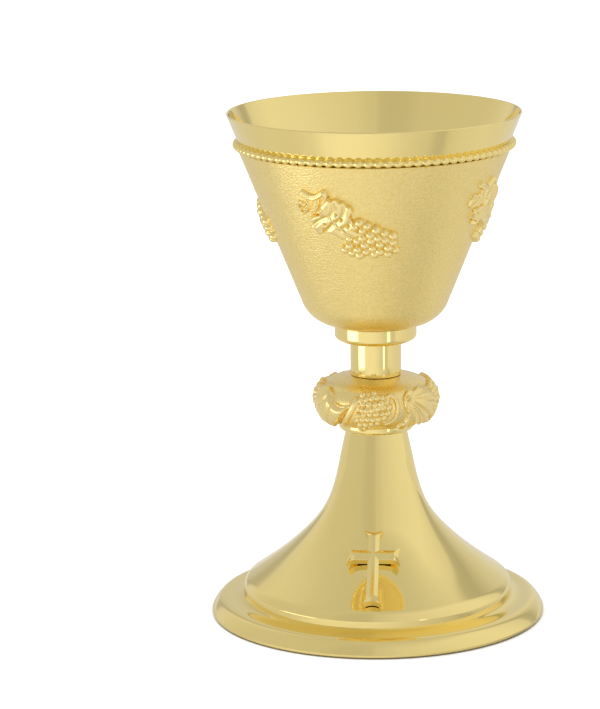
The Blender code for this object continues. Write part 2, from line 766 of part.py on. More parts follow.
def grapes(name, outline, pitch, radius, fall, collection):
    """A bunch of grapes: balls packed inside an outline, higher towards its middle."""
    shape = bmesh.new()
    for i, (u, v) in enumerate(packed(outline, pitch, fall)):
        deep = min(max(depth_inside(u, v, outline), 0.0), 4 * radius)
        place = (u, v, 0.35 + 0.16 * deep + 0.05 * radius * (i * 7 % 5))
        bmesh.ops.create_icosphere(
            shape, subdivisions=2, radius=radius * MM, matrix=Matrix.Translation(Vector(place) * MM)
        )
    mesh = bpy.data.meshes.new(name)
    shape.to_mesh(mesh)
    shape.free()
    return new_piece(name, mesh, collection)


def fuse(name, pieces, voxel, collection):
    """One closed mesh round all the given shapes, flat underneath."""
    graph = bpy.context.evaluated_depsgraph_get()
    shape = bmesh.new()
    for piece in pieces:
        mesh = bpy.data.meshes.new_from_object(piece.evaluated_get(graph))
        mesh.transform(piece.matrix_world)
        shape.from_mesh(mesh)
    for piece in pieces:
        drop(piece)
    bmesh.ops.remove_doubles(shape, verts=shape.verts, dist=0.000001)
    mesh = bpy.data.meshes.new(name)
    shape.to_mesh(mesh)
    shape.free()
    fused = new_piece(name, mesh, collection)
    remesh = fused.modifiers.new("Fuse", "REMESH")
    remesh.mode = "VOXEL"
    remesh.voxel_size = voxel
    bake(fused)
    return fused


def wrap(piece, surface):
    """Bends a flat layout: every vertex goes to surface(u, v, height)."""
    for vertex in piece.data.vertices:
        vertex.co = surface(*vertex.co)


def thin_out(piece, triangles):
    """Reduces a mesh to about the given number of triangles."""
    piece.data.calc_loop_triangles()
    reduce = piece.modifiers.new("Reduce", "DECIMATE")
    reduce.ratio = triangles / len(piece.data.loop_triangles)
    bake(piece)


def cone_surface(azimuth):
    """The shell's outer cone as a wrapping surface, about one azimuth in degrees from the front."""
    sine, cosine = math.sin(CONE_ANGLE), math.cos(CONE_ANGLE)

    def place(u, v, height):
        z = APPLIQUE_HEIGHT + v * cosine
        radius = RIM_RADIUS + SHELL_STEP - CONE_SLOPE * (HEIGHT - z)
        out = max(height, 0.0) + GAP * 1.2
        turn = math.radians(azimuth) + u / radius
        reach = radius + out * cosine
        return Vector((reach * math.sin(turn), -reach * math.cos(turn), z - out * sine))

    return place


def make_appliques(parts, cutters):
    """Four alike castings on the shell: a cane with its tendril, a vine leaf and a bunch of grapes."""
    for side, azimuth in APPLIQUE_AZIMUTHS.items():
        pieces = [
            plate("leaf", LEAF_LINE, 2.1, cutters),
            plate("backing", BUNCH_LINE, 0.9, cutters),
            grapes("bunch", BUNCH_LINE, GRAPE_PITCH, GRAPE_RADIUS, GRAPE_FALL, cutters),
        ]
        pieces += [vine("stem", *stem, cutters) for stem in VINE_STEMS]
        bpy.context.view_layer.update()
        casting = fuse("grape_applique_" + side, pieces, 0.42 * MM, parts)
        wrap(casting, cone_surface(azimuth))
        thin_out(casting, 900)
        finish(casting, "relief_gold")


def knop_surface(half_turn):
    """The knop's outer line as a wrapping surface; v runs along the line from its middle."""
    line = smooth_line(KNOP_LINE, 60)
    length = np.concatenate([[0], np.cumsum(np.hypot(*np.diff(line, axis=0).T))])
    middle = length[int(np.argmin(abs(line[:, 1] - 90.0 * MM)))]
    slope = np.gradient(line, length, axis=0)
    sunk = 0.6 * MM

    def place(u, v, height):
        along = middle - v
        r, z = np.interp(along, length, line[:, 0]), np.interp(along, length, line[:, 1])
        out = np.array([-np.interp(along, length, slope[:, 1]), np.interp(along, length, slope[:, 0])])
        r, z = r + out[0] * (height - sunk), z + out[1] * (height - sunk)
        turn = half_turn * math.pi + u / (KNOP_BELT_RADIUS * MM)
        return Vector((r * math.sin(turn), -r * math.cos(turn), z))

    return place


def shifted(line, u):
    return [(point[0] + u, point[1]) for point in line]


def make_knop(parts, cutters):
    """The cast knop: a hollow ground ring with vine leaves and bunches standing out of it."""
    outer = [tuple(point) for point in smooth_line(KNOP_LINE, 14)]
    inner = [tuple(point) for point in inset(smooth_line(KNOP_LINE[1:-1], 7), KNOP_WALL)]
    top, bottom = outer[0][1], outer[-1][1]
    outline = [(BOSS_HOLE, top), *outer, (BOSS_HOLE, bottom), (BOSS_HOLE, bottom + KNOP_WALL)]
    outline += [*inner[::-1], (BOSS_HOLE, top - KNOP_WALL)]
    knop = turned("knop", outline, parts)
    for half in (0, 1):
        pieces = []
        for quarter in (0.0, KNOP_HALF_BELT / 2):
            outline = tuple(shifted(KNOP_BUNCH_LINE, quarter))
            pieces.append(grapes("bunch", outline, KNOP_GRAPE_PITCH, KNOP_GRAPE_RADIUS, 0.1, cutters))
            pieces.append(vine("stem", shifted(KNOP_STEM_LINE, quarter), 0.85, 0.7, cutters))
        for leaf in (FOLDED_LEAF_LINE, FAN_LEAF_LINE):
            pieces.append(plate("leaf", leaf, 2.1, cutters))
        pieces.append(vine("branch", BRANCH_LINE, 1.5, 0.0, cutters))
        bpy.context.view_layer.update()
        relief = fuse("relief", pieces, 0.42 * MM, cutters)
        wrap(relief, knop_surface(half))
        thin_out(relief, 1000)
        unite(knop, relief)
    keep_outer_skin(knop)
    return finish(knop, "satin_gold")


def main():
    clear_scene()
    parts = new_collection("communion_chalice")
    cutters = new_collection("cutters", hidden=True)
    make_cup_liner(parts)
    make_cup_shell(parts)
    make_bead_ring(parts)
    make_appliques(parts, cutters)
    make_cup_boss(parts)
    make_cup_collar(parts)
    make_stem_sleeve(parts)
    make_plug(parts, "stem_top_plug", COLLAR_BOTTOM, 1)
    make_plug(parts, "stem_bottom_plug", SLEEVE_BOTTOM - GAP, -1)
    make_knop(parts, cutters)
    make_foot_collar(parts)
    make_foot_bell(parts, cutters)
    make_base_ring(parts)
    make_foot_cross(parts, cutters)
    make_cross_nuts(parts, cutters)
    make_clamp(parts, cutters)


main()
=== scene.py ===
"""Communion chalice: the looks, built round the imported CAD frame.

Metres, +Z up, -Y the front. The turned pieces repeat the CAD model's outlines with finer steps; the
castings are height fields wrapped on the cup's cone and on the knop.
"""

import math

import bmesh
import bpy
import numpy as np
from mathutils import Matrix, Vector


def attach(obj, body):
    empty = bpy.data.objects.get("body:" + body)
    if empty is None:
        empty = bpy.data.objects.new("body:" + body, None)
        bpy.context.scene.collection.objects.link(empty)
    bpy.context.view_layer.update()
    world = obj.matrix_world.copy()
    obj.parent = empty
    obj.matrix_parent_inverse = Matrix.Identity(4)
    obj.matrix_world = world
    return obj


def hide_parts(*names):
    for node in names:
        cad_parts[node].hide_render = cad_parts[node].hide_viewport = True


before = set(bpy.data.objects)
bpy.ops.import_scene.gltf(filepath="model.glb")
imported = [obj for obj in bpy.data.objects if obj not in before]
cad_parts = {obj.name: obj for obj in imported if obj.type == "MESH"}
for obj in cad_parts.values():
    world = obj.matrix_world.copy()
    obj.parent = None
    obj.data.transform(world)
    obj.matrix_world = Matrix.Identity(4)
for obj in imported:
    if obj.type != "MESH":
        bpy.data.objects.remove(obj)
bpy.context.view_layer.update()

MM = 0.001

# Overall form, as in the CAD model
HEIGHT = 210.0 * MM
RIM_RADIUS = 60.2 * MM
CONE_SLOPE = 0.402
CONE_ANGLE = math.atan(CONE_SLOPE)

# Cup
SHELL_TOP = 195.3 * MM
SHELL_BOTTOM = 122.4 * MM
SHELL_BEND = 14.6 * MM
SHELL_STEP = 1.3 * MM
SHELL_WALL = 0.9 * MM
SHELL_EDGE = 0.35 * MM  # height of the round on the shell's top edge
LINER_WALL = 0.8 * MM
BOSS_HOLE = 8.3 * MM
BEAD_COUNT = 90
BEAD_RING_BOTTOM = 195.6 * MM
BEAD_RADIUS = 1.55 * MM
BEAD_PROUD = 1.1 * MM

# Stem
COLLAR_TOP = 122.1 * MM
COLLAR_BOTTOM = 114.6 * MM
COLLAR_RADIUS = 16.9 * MM
COLLAR_BAND = 4.5 * MM
SLEEVE_RADIUS = 10.5 * MM
SLEEVE_WALL = 1.0 * MM
SLEEVE_BOTTOM = 100.9 * MM
KNOP_LINE = (
    (9.0, 100.9),
    (16.5, 99.6),
    (21.3, 97.3),
    (23.5, 93.6),
    (23.7, 89.3),
    (22.3, 84.7),
    (18.6, 81.9),
    (9.0, 81.3),
)  # in millimetres, from the top down

# Foot
FOOT_COLLAR_TOP = 81.0 * MM
FOOT_COLLAR_BOTTOM = 77.9 * MM
FOOT_COLLAR_RADIUS = 15.5 * MM
BELL_KNOTS = (
    (53.5 * MM, 15.0 * MM),
    (43.75 * MM, 22.0 * MM),
    (33.1 * MM, 31.0 * MM),
    (23.3 * MM, 42.0 * MM),
    (17.9 * MM, 54.0 * MM),
    (15.1 * MM, 66.0 * MM),
    (12.6 * MM, 77.6 * MM),
)
BELL_SHOULDER = 6.0 * MM
BELL_WALL_RADIUS = 56.15 * MM
BELL_BOTTOM = 7.4 * MM
BELL_WALL = 1.0 * MM
BASE_RADIUS = 69.3 * MM
BASE_EDGE_RADIUS = 66.2 * MM
BASE_SEAT = 7.8 * MM
BASE_SEAT_IN = 52.0 * MM
BASE_KNOTS = (  # from the seat, through the dish and over the edge, to the leaning outer band
    (56.3 * MM, BASE_SEAT),
    (58.0 * MM, 7.15 * MM),
    (60.0 * MM, 6.85 * MM),
    (62.4 * MM, 6.85 * MM),
    (64.0 * MM, 6.75 * MM),
    (65.3 * MM, 6.35 * MM),
    (BASE_EDGE_RADIUS, 5.75 * MM),
    (67.3 * MM, 4.6 * MM),
    (68.4 * MM, 3.1 * MM),
    (BASE_RADIUS, 1.3 * MM),
)
ROD_CLEARANCE = 3.4 * MM

# Cross
CROSS_HEIGHT = 35.7 * MM
CROSS_SPAN = 21.8 * MM
CROSS_ARMS_FROM_TOP = 11.75 * MM
CROSS_BAR = 4.7 * MM
CROSS_FLARE = 7.4 * MM
CROSS_FLARE_LENGTH = 3.6 * MM
CROSS_NOTCH = 0.9 * MM
CROSS_THICKNESS = 4.2 * MM
CROSS_BEVEL = 1.6 * MM  # breadth of the bevel on the cross's face
CROSS_BEVEL_DEPTH = 1.1 * MM
CROSS_FOOT_Z = 15.8 * MM

# Grape castings on the cup, in millimetres: u to the right, v up
CASTING_AZIMUTHS = {"front": -12.0, "right": 78.0, "back": 168.0, "left": -102.0}
CASTING_HEIGHT = 171.7
GRAPE_FALL = math.radians(-26)
GRAPE_PITCH = 3.3
GRAPE_RADIUS = 1.85
BUNCH_LINE = (  # through the outermost grapes' centres
    (4.0, 2.4),
    (8.2, 1.8),
    (12.7, -1.0),
    (16.2, -2.8),
    (18.8, -5.2),
    (20.0, -8.2),
    (19.4, -11.6),
    (16.5, -12.8),
    (13.5, -13.8),
    (9.0, -12.4),
    (5.8, -13.0),
    (2.5, -13.4),
    (-1.4, -11.4),
    (-0.4, -7.2),
    (3.4, -6.0),
    (4.0, -2.0),
)
LEAF_LINE = (
    (-5.9, 11.9),
    (-4.5, 11.0),
    (-2.6, 12.1),
    (-1.2, 10.6),
    (0.2, 10.8),
    (1.4, 9.2),
    (3.2, 8.5),
    (4.1, 6.2),
    (2.7, 3.8),
    (3.7, 0.8),
    (3.2, -1.8),
    (7.8, -4.3),
    (2.6, -5.9),
    (-1.8, -6.8),
    (-4.2, -5.0),
    (-6.4, -4.2),
    (-8.1, -2.7),
    (-9.6, -4.6),
    (-12.0, -5.0),
    (-12.2, -3.2),
    (-14.4, -1.8),
    (-13.7, 0.4),
    (-14.6, 2.2),
    (-12.4, 3.6),
    (-10.2, 4.2),
    (-10.0, 6.6),
    (-8.8, 8.2),
    (-7.2, 10.4),
)
MIDRIB = ((-8.8, 7.2), (-5.8, 3.4), (-1.3, -2.0), (3.0, -4.4))
SIDE_VEINS = (
    ((-5.8, 3.4), (-4.0, 6.4), (-3.6, 11.4)),
    ((-3.6, 0.8), (-0.8, 3.6), (1.0, 9.4)),
    ((-1.4, -1.8), (1.4, 0.2), (3.4, 3.0)),
    ((-6.2, 4.0), (-9.6, 2.2), (-13.4, -0.8)),
    ((-4.0, 1.2), (-6.4, -1.6), (-8.2, -3.2)),
)
LEAF_HOLES = ((-2.9, 4.9), (-1.1, 2.5), (1.3, -0.3), (-8.0, 0.4))

VINE_STEMS = (  # line, radius, lift, taper
    (((-17.4, 13.2), (-15.2, 11.9), (-12.4, 11.2), (-9.5, 12.4), (-7.0, 14.6)), 0.85, 0.7, 0.9),
    (((-16.8, 14.2), (-14.6, 12.9), (-12.0, 12.3), (-9.6, 13.4), (-7.4, 14.8)), 0.5, 0.9, 1.0),
    (((-7.2, 14.2), (-6.6, 12.6), (-7.6, 10.2), (-8.8, 7.2)), 0.8, 1.3, 0.8),
    (
        ((-14.4, 11.4), (-14.3, 8.1), (-15.7, 5.7), (-18.4, 3.9), (-20.0, 6.6), (-18.8, 9.0), (-16.8, 7.8)),
        0.66,
        0.6,
        0.75,
    ),
    (((-19.6, 5.4), (-18.0, 6.4), (-16.4, 8.4), (-14.6, 9.6)), 0.5, 0.5, 0.8),
    (((-10.2, 11.6), (-10.5, 8.8), (-12.2, 5.0), (-13.6, 3.8)), 0.55, 0.6, 0.7),
)

KNOP_MIDDLE = 90.0
KNOP_WALL = 2.4
KNOP_BORE = 8.3
KNOP_BOTTOM = 81.3
KNOP_TOP = 100.9
KNOP_FLANGE = 2.4  # thickness of the metal round the bore, above and below the hollow

# Knop reliefs, in millimetres: u along the belt, v up
KNOP_BELT_RADIUS = 24.0
KNOP_GRAPE_PITCH = 2.3
KNOP_GRAPE_RADIUS = 1.3
KNOP_BUNCH_LINE = (
    (-5.4, 6.4),
    (0.0, 6.8),
    (6.6, 6.0),
    (6.4, 2.2),
    (4.6, -1.6),
    (1.0, -4.6),
    (-3.6, -8.4),
    (-6.8, -9.4),
    (-7.2, -6.0),
    (-6.0, -2.0),
    (-5.2, 2.0),
)
FOLDED_LEAF_LINE = (
    (-9.4, 2.4),
    (-14.0, 2.0),
    (-18.0, 3.2),
    (-20.0, 6.4),
    (-23.0, 8.6),
    (-27.0, 8.0),
    (-30.4, 5.6),
    (-31.6, 1.0),
    (-30.2, -4.2),
    (-27.4, -7.4),
    (-24.6, -7.2),
    (-22.0, -9.4),
    (-18.6, -7.6),
    (-15.2, -4.4),
    (-12.4, -0.6),
)
BRANCH_LINE = ((-7.6, 4.4), (-10.2, -0.6), (-13.6, -5.4), (-16.8, -8.6))
FAN_LEAF_EYE = (15.0, 4.6)
FAN_LEAF_LINE = (
    (12.6, 5.4),
    (15.6, 8.2),
    (19.0, 7.6),
    (22.6, 9.0),
    (26.0, 7.6),
    (29.4, 7.8),
    (30.6, 4.2),
    (32.6, 1.0),
    (31.0, -2.2),
    (31.2, -6.0),
    (27.0, -6.6),
    (24.0, -9.0),
    (20.6, -6.8),
    (16.4, -8.8),
    (11.8, -9.4),
    (10.2, -7.2),
    (13.4, -4.6),
    (14.6, -1.8),
    (12.6, 1.6),
)
JAY_STEM = ((6.6, 6.6), (8.6, 6.0), (9.8, 3.4), (9.8, -0.6), (8.0, -3.8), (5.2, -5.2))

SEGMENTS = 256


# ---- materials ------------------------------------------------------------------------------------

GOLD = (0.95, 0.765, 0.30)


class Nodes:
    """A material's node tree with short ways to add what the finishes below share."""

    def __init__(self, name):
        self.material = bpy.data.materials.new(name)
        self.material.use_nodes = True
        self.tree = self.material.node_tree
        self.shader = self.tree.nodes["Principled BSDF"]
        self.shader.inputs["Metallic"].default_value = 1.0
        self.place = self.add("ShaderNodeTexCoord").outputs["Object"]

    def add(self, kind, **settings):
        node = self.tree.nodes.new(kind)
        for key, value in settings.items():
            setattr(node, key, value)
        return node

    def join(self, source, target):
        self.tree.links.new(source, target)

    def noise(self, scale, detail=2.0, stretch=(1, 1, 1)):
        mapping = self.add("ShaderNodeMapping")
        mapping.inputs["Scale"].default_value = stretch
        noise = self.add("ShaderNodeTexNoise")
        noise.inputs["Scale"].default_value = scale
        noise.inputs["Detail"].default_value = detail
        self.join(self.place, mapping.inputs["Vector"])
        self.join(mapping.outputs["Vector"], noise.inputs["Vector"])
        return noise.outputs["Fac"]

    def spread(self, value, low, high, start=0.35, end=0.65):
        """Maps a value's range start..end to low..high."""
        spread = self.add("ShaderNodeMapRange")
        spread.inputs["From Min"].default_value = start
        spread.inputs["From Max"].default_value = end
        spread.inputs["To Min"].default_value = low
        spread.inputs["To Max"].default_value = high
        self.join(value, spread.inputs["Value"])
        return spread.outputs["Result"]

    def tint(self, factor, low, high):
        mix = self.add("ShaderNodeMix", data_type="RGBA")
        mix.inputs["A"].default_value = (*low, 1.0)
        mix.inputs["B"].default_value = (*high, 1.0)
        self.join(factor, mix.inputs["Factor"])
        return mix.outputs["Result"]

    def bump(self, height, depth, strength=1.0, before=None):
        bump = self.add("ShaderNodeBump")
        bump.inputs["Strength"].default_value = strength
        bump.inputs["Distance"].default_value = depth
        self.join(height, bump.inputs["Height"])
        if before is not None:
            self.join(before, bump.inputs["Normal"])
        return bump.outputs["Normal"]

    def result(self, colour, roughness, normal):
        self.join(colour, self.shader.inputs["Base Color"])
        self.join(roughness, self.shader.inputs["Roughness"])
        self.join(normal, self.shader.inputs["Normal"])
        return self.material


def polished_gold(name, roughness=(0.07, 0.12)):
    """Buffed gilding: nearly a mirror, with faint turning lines and a slight unevenness."""
    nodes = Nodes(name)
    cloud = nodes.noise(28.0)
    lines = nodes.noise(1400.0, 1.0, (0.02, 0.02, 1.0))
    colour = nodes.tint(nodes.spread(cloud, 0.0, 1.0), GOLD, (0.955, 0.775, 0.315))
    return nodes.result(
        colour,
        nodes.spread(cloud, *roughness),
        nodes.bump(lines, 0.006 * MM, 0.25),
    )


def sanded_gold(name):
    """Gilding on a sanded ground: a fine grain, drawn out a little along the turning."""
    nodes = Nodes(name)
    sand = nodes.noise(2000.0, 2.0, (0.55, 0.55, 1.0))
    brush = nodes.noise(1100.0, 3.0, (0.2, 0.2, 1.0))
    cloud = nodes.noise(60.0)
    colour = nodes.tint(nodes.spread(sand, 0.0, 1.0, 0.3, 0.7), (0.91, 0.69, 0.24), (0.97, 0.80, 0.35))
    normal = nodes.bump(brush, 0.10 * MM, 0.7)
    return nodes.result(
        colour,
        nodes.spread(cloud, 0.30, 0.38),
        nodes.bump(sand, 0.22 * MM, 1.0, normal),
    )


def cast_gold(name):
    """Gilt casting: soft skin, with a painted highlight where it stands proud and painted shade, redder, in
    its folds.
    """
    nodes = Nodes(name)
    skin = nodes.noise(1500.0, 3.0)
    form = nodes.add("ShaderNodeNewGeometry").outputs["Pointiness"]
    # painted shade and highlight: redder and darker where the surface is hollow, lighter where it stands
    # proud, in place of reflections between the folds
    colour = nodes.tint(nodes.spread(form, 0.0, 1.0, 0.44, 0.52), (0.93, 0.66, 0.18), (0.96, 0.78, 0.35))
    return nodes.result(
        colour,
        nodes.spread(skin, 0.16, 0.28),
        nodes.bump(skin, 0.03 * MM, 0.7),
    )


def turned_brass(name):
    """Bare brass as it leaves the lathe, seen only inside the foot."""
    nodes = Nodes(name)
    rings = nodes.noise(900.0, 1.0, (0.05, 0.05, 1.0))
    cloud = nodes.noise(90.0)
    colour = nodes.tint(nodes.spread(cloud, 0.0, 1.0), (0.66, 0.47, 0.19), (0.78, 0.60, 0.28))
    return nodes.result(colour, nodes.spread(cloud, 0.28, 0.42), nodes.bump(rings, 0.02 * MM, 0.6))


def zinc_steel(name):
    """Zinc-plated steel of rod, nuts and washer."""
    nodes = Nodes(name)
    grain = nodes.noise(800.0, 3.0)
    cloud = nodes.noise(140.0)
    colour = nodes.tint(nodes.spread(cloud, 0.0, 1.0), (0.50, 0.50, 0.50), (0.66, 0.66, 0.67))
    return nodes.result(colour, nodes.spread(cloud, 0.25, 0.42), nodes.bump(grain, 0.02 * MM, 0.5))


# ---- outlines -------------------------------------------------------------------------------------


def arc(centre, radius, start, end, count):
    angles = np.radians(np.linspace(start, end, count))
    return [(centre[0] + radius * math.cos(a), centre[1] + radius * math.sin(a)) for a in angles]


def spline(places, values, wanted):
    """A natural cubic spline through (places, values), read at the wanted places."""
    places, values, wanted = np.array(places), np.array(values), np.asarray(wanted)
    count, step = len(places), np.diff(places)
    system, right = np.eye(count), np.zeros(count)
    for i in range(1, count - 1):
        system[i, i - 1 : i + 2] = step[i - 1], 2 * (step[i - 1] + step[i]), step[i]
        right[i] = 6 * ((values[i + 1] - values[i]) / step[i] - (values[i] - values[i - 1]) / step[i - 1])
    bend = np.linalg.solve(system, right)
    i = np.clip(np.searchsorted(places, wanted) - 1, 0, count - 2)
    past, left = wanted - places[i], places[i + 1] - wanted
    curved = (bend[i] * left**3 + bend[i + 1] * past**3) / (6 * step[i])
    straight = (values[i] / step[i] - bend[i] * step[i] / 6) * left
    return curved + straight + (values[i + 1] / step[i] - bend[i + 1] * step[i] / 6) * past


def lengths_along(line):
    return np.concatenate([[0], np.cumsum(np.hypot(*np.diff(line, axis=0).T))])


def smooth_line(points, count):
    """Evenly spaced points on a smooth curve through the given ones."""
    points = np.array(points, float)
    length = lengths_along(points)
    wanted = np.linspace(0, length[-1], count)
    return np.stack([spline(length, points[:, 0], wanted), spline(length, points[:, 1], wanted)], axis=1)


def inset(line, depth):
    line = np.array(line)
    along = np.gradient(line, axis=0)
    along /= np.linalg.norm(along, axis=1)[:, None]
    return line + depth * np.stack([along[:, 1], -along[:, 0]], axis=1)


def softened(outline, radius, count=4):
    """A closed outline with each corner replaced by a small round."""
    points, soft = np.array(outline), []
    for i, corner in enumerate(points):
        before, after = points[i - 1] - corner, points[(i + 1) % len(points)] - corner
        cut = [min(radius, 0.45 * np.linalg.norm(side)) for side in (before, after)]
        start = corner + before / np.linalg.norm(before) * cut[0]
        end = corner + after / np.linalg.norm(after) * cut[1]
        for t in np.linspace(0, 1, count):
            soft.append((1 - t) ** 2 * start + 2 * t * (1 - t) * corner + t**2 * end)
    return [tuple(point) for point in soft]


def bowl_side(depth, top, arc_points=28):
    """The cup's outer line, from its top to the axis, at a depth inside the shell's outer face."""
    bend_z = SHELL_BOTTOM + SHELL_BEND
    shell_at_bend = RIM_RADIUS + SHELL_STEP - CONE_SLOPE * (HEIGHT - bend_z)
    bend = (shell_at_bend - SHELL_BEND / math.cos(CONE_ANGLE), bend_z)
    rounds = arc(bend, SHELL_BEND - depth, -math.degrees(CONE_ANGLE), -90, arc_points)
    start = rounds[0]
    side = [(start[0] + CONE_SLOPE * (z - start[1]), z) for z in np.linspace(top, start[1], 24)[:-1]]
    return side + rounds


def bell_line(count):
    """The bell's outer line, from its neck down to its bottom edge."""
    radii, heights = zip(*BELL_KNOTS)
    levels = np.linspace(1, 0, count) ** 1.35
    wanted = heights[0] + (heights[-1] - heights[0]) * levels
    side = list(zip(spline(heights, radii, wanted), wanted))
    start = math.radians(55)
    centre = (radii[0] - BELL_SHOULDER * math.cos(start), heights[0] - BELL_SHOULDER * math.sin(start))
    return side + arc(centre, BELL_SHOULDER, 52, 5, 22) + [(BELL_WALL_RADIUS, BELL_BOTTOM)]


# ---- meshes ---------------------------------------------------------------------------------------


def new_piece(name, points, faces, material, sharp=35):
    """A mesh object from numpy points and faces, smooth but for its sharp edges."""
    mesh = bpy.data.meshes.new(name)
    mesh.from_pydata(np.asarray(points).tolist(), [], [tuple(map(int, face)) for face in faces])
    mesh.validate()
    mesh.shade_smooth()
    mesh.set_sharp_from_angle(angle=math.radians(sharp))
    mesh.materials.append(material)
    piece = bpy.data.objects.new(name, mesh)
    bpy.context.scene.collection.objects.link(piece)
    return piece


def place_piece(piece, slot, *nodes):
    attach(piece, "root")
    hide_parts(*nodes)
    return piece


def ring_faces(rows, columns, closed):
    """Quads of a grid that is wound round its columns, and round its rows too if closed."""
    faces = []
    for i in range(rows if closed else rows - 1):
        low = (i + 1) % rows
        for j in range(columns):
            k = (j + 1) % columns
            faces.append((i * columns + j, low * columns + j, low * columns + k, i * columns + k))
    return faces


def turned(name, outline, material, segments=SEGMENTS, sharp=35):
    """Turns an outline about Z: down the outer side and up the inner.

    An outline that starts and ends on the axis is capped there by fans; any other is closed.
    """
    on_axis = outline[0][0] == 0 and outline[-1][0] == 0
    inner = outline[1:-1] if on_axis else outline
    turns = np.linspace(0, math.tau, segments, endpoint=False)
    radii, heights = np.array(inner).T
    points = np.stack(
        [
            np.outer(radii, np.cos(turns)),
            np.outer(radii, np.sin(turns)),
            np.repeat(heights[:, None], segments, axis=1),
        ],
        axis=-1,
    ).reshape(-1, 3)
    faces = ring_faces(len(inner), segments, not on_axis)
    if on_axis:
        first, last = len(points), len(points) + 1
        points = np.vstack([points, (0, 0, outline[0][1]), (0, 0, outline[-1][1])])
        bottom = (len(inner) - 1) * segments
        for j in range(segments):
            k = (j + 1) % segments
            faces.append((first, j, k))
            faces.append((last, bottom + k, bottom + j))
    return new_piece(name, points, faces, material, sharp)


# ---- cup ------------------------------------------------------------------------------------------


def make_liner():
    depth = SHELL_STEP * math.cos(CONE_ANGLE)
    lip = LINER_WALL / 2
    outer = bowl_side(depth, HEIGHT - lip)
    inner = bowl_side(depth + LINER_WALL, HEIGHT - lip)
    middle = ((outer[0][0] + inner[0][0]) / 2, HEIGHT - lip)
    edge = arc(middle, lip * 1.02, 158, 22, 9)
    outline = [(0.0, inner[-1][1]), *inner[::-1], *edge, *outer, (0.0, outer[-1][1])]
    piece = turned("liner", outline, polished_gold("liner_gilding", (0.03, 0.06)))
    place_piece(piece, "polished_gold", "cup_liner")


def make_shell():
    edge_z = SHELL_TOP - SHELL_EDGE
    outer = bowl_side(0, edge_z)
    inner = bowl_side(SHELL_WALL, edge_z)
    middle = ((outer[0][0] + inner[0][0]) / 2, edge_z)
    edge = arc(middle, SHELL_WALL * 0.5, 158, 22, 7)
    hole = [(BOSS_HOLE, outer[-1][1]), (BOSS_HOLE, inner[-1][1])]
    outline = outer + hole + inner[::-1] + [(r, min(z, SHELL_TOP)) for r, z in edge]
    piece = turned("shell", outline, sanded_gold("shell_sand"))
    place_piece(piece, "satin_gold", "cup_shell")


def make_bead_ring():
    """A gallery wire: a row of round beads half sunk in it, under a level ledge."""
    bead_z = BEAD_RING_BOTTOM + BEAD_RADIUS
    ledge = bead_z + BEAD_RADIUS + 0.1 * MM
    back = {z: RIM_RADIUS - CONE_SLOPE * (HEIGHT - z) - 0.1 * MM for z in (BEAD_RING_BOTTOM, ledge)}
    ring_radius = RIM_RADIUS - CONE_SLOPE * (HEIGHT - bead_z) + BEAD_PROUD
    per_bead = 18
    count = BEAD_COUNT * per_bead
    turns = np.linspace(0, math.tau, count, endpoint=False)
    spacing = math.tau * ring_radius / BEAD_COUNT
    from_centre = (np.arange(count) % per_bead / per_bead - 0.5) * spacing
    size = np.sqrt(np.maximum(BEAD_RADIUS**2 - (from_centre * 0.8) ** 2, 0)) / BEAD_RADIUS
    size = np.maximum(size, 0.62)
    rows = [(np.full(count, back[ledge]), np.full(count, ledge))]
    rows.append((np.full(count, ring_radius - 0.5 * MM), np.full(count, ledge)))
    for angle in np.radians(np.linspace(84, -90, 14)):
        rows.append(
            (
                ring_radius + BEAD_RADIUS * size * math.cos(angle),
                bead_z + BEAD_RADIUS * size * math.sin(angle),
            )
        )
    rows.append((np.full(count, back[BEAD_RING_BOTTOM]), np.full(count, BEAD_RING_BOTTOM + 0.1 * MM)))
    points = np.stack(
        [[r * np.cos(turns), r * np.sin(turns), z] for r, z in rows]
    ).transpose(0, 2, 1).reshape(-1, 3)
    piece = new_piece("bead_string", points, ring_faces(len(rows), count, True), bead_gold(), 60)
    place_piece(piece, "polished_gold", "bead_ring")


def bead_gold():
    """Polished beads with painted shade, redder, in the valleys between them."""
    nodes = Nodes("bead_gilding")
    form = nodes.add("ShaderNodeNewGeometry").outputs["Pointiness"]
    cloud = nodes.noise(60.0)
    # painted shade: redder and darker in the hollows between the beads, in place of reflections between them
    colour = nodes.tint(nodes.spread(form, 0.0, 1.0, 0.42, 0.52), (0.90, 0.62, 0.16), GOLD)
    return nodes.result(colour, nodes.spread(cloud, 0.10, 0.16), nodes.bump(cloud, 0.01 * MM, 0.3))


# ---- height fields --------------------------------------------------------------------------------

SUNK = -0.35  # how far below the ground, in millimetres, a field's empty places lie
STEEP = 2.8


def ball(u, v, centre, radius, lift):
    """Height of a ball on the layout; past its edge the height runs steeply down."""
    q = np.hypot(u - centre[0], v - centre[1]) / radius
    brow = 0.94
    fall = brow / math.sqrt(1 - brow**2)
    cap = np.sqrt(np.maximum(1 - np.minimum(q, brow) ** 2, 0)) - fall * np.maximum(q - brow, 0)
    return lift + radius * cap


def rope(u, v, line, radius, lift, taper=1.0):
    """Height of a round stem along a smooth line; its radius falls to taper times at the far end."""
    route = smooth_line(line, 14 * len(line))
    field = np.full(u.shape, SUNK * 3)
    for i, point in enumerate(route):
        size = radius * (1 + (taper - 1) * i / len(route))
        field = np.maximum(field, ball(u, v, point, size, lift))
    return field


def depth_inside(u, v, outline):
    """Distance to a closed outline, positive inside it."""
    nearest = np.full(u.shape, 1e9)
    inside = np.zeros(u.shape, bool)
    for a, b in zip(outline, np.roll(outline, -1, axis=0)):
        edge = b - a
        t = np.clip(((u - a[0]) * edge[0] + (v - a[1]) * edge[1]) / (edge @ edge), 0, 1)
        nearest = np.minimum(nearest, np.hypot(u - a[0] - t * edge[0], v - a[1] - t * edge[1]))
        crosses = (a[1] > v) != (b[1] > v)
        with np.errstate(divide="ignore", invalid="ignore"):
            at = a[0] + (v - a[1]) * edge[0] / edge[1]
        inside ^= crosses & (u < at)
    return np.where(inside, nearest, -nearest)


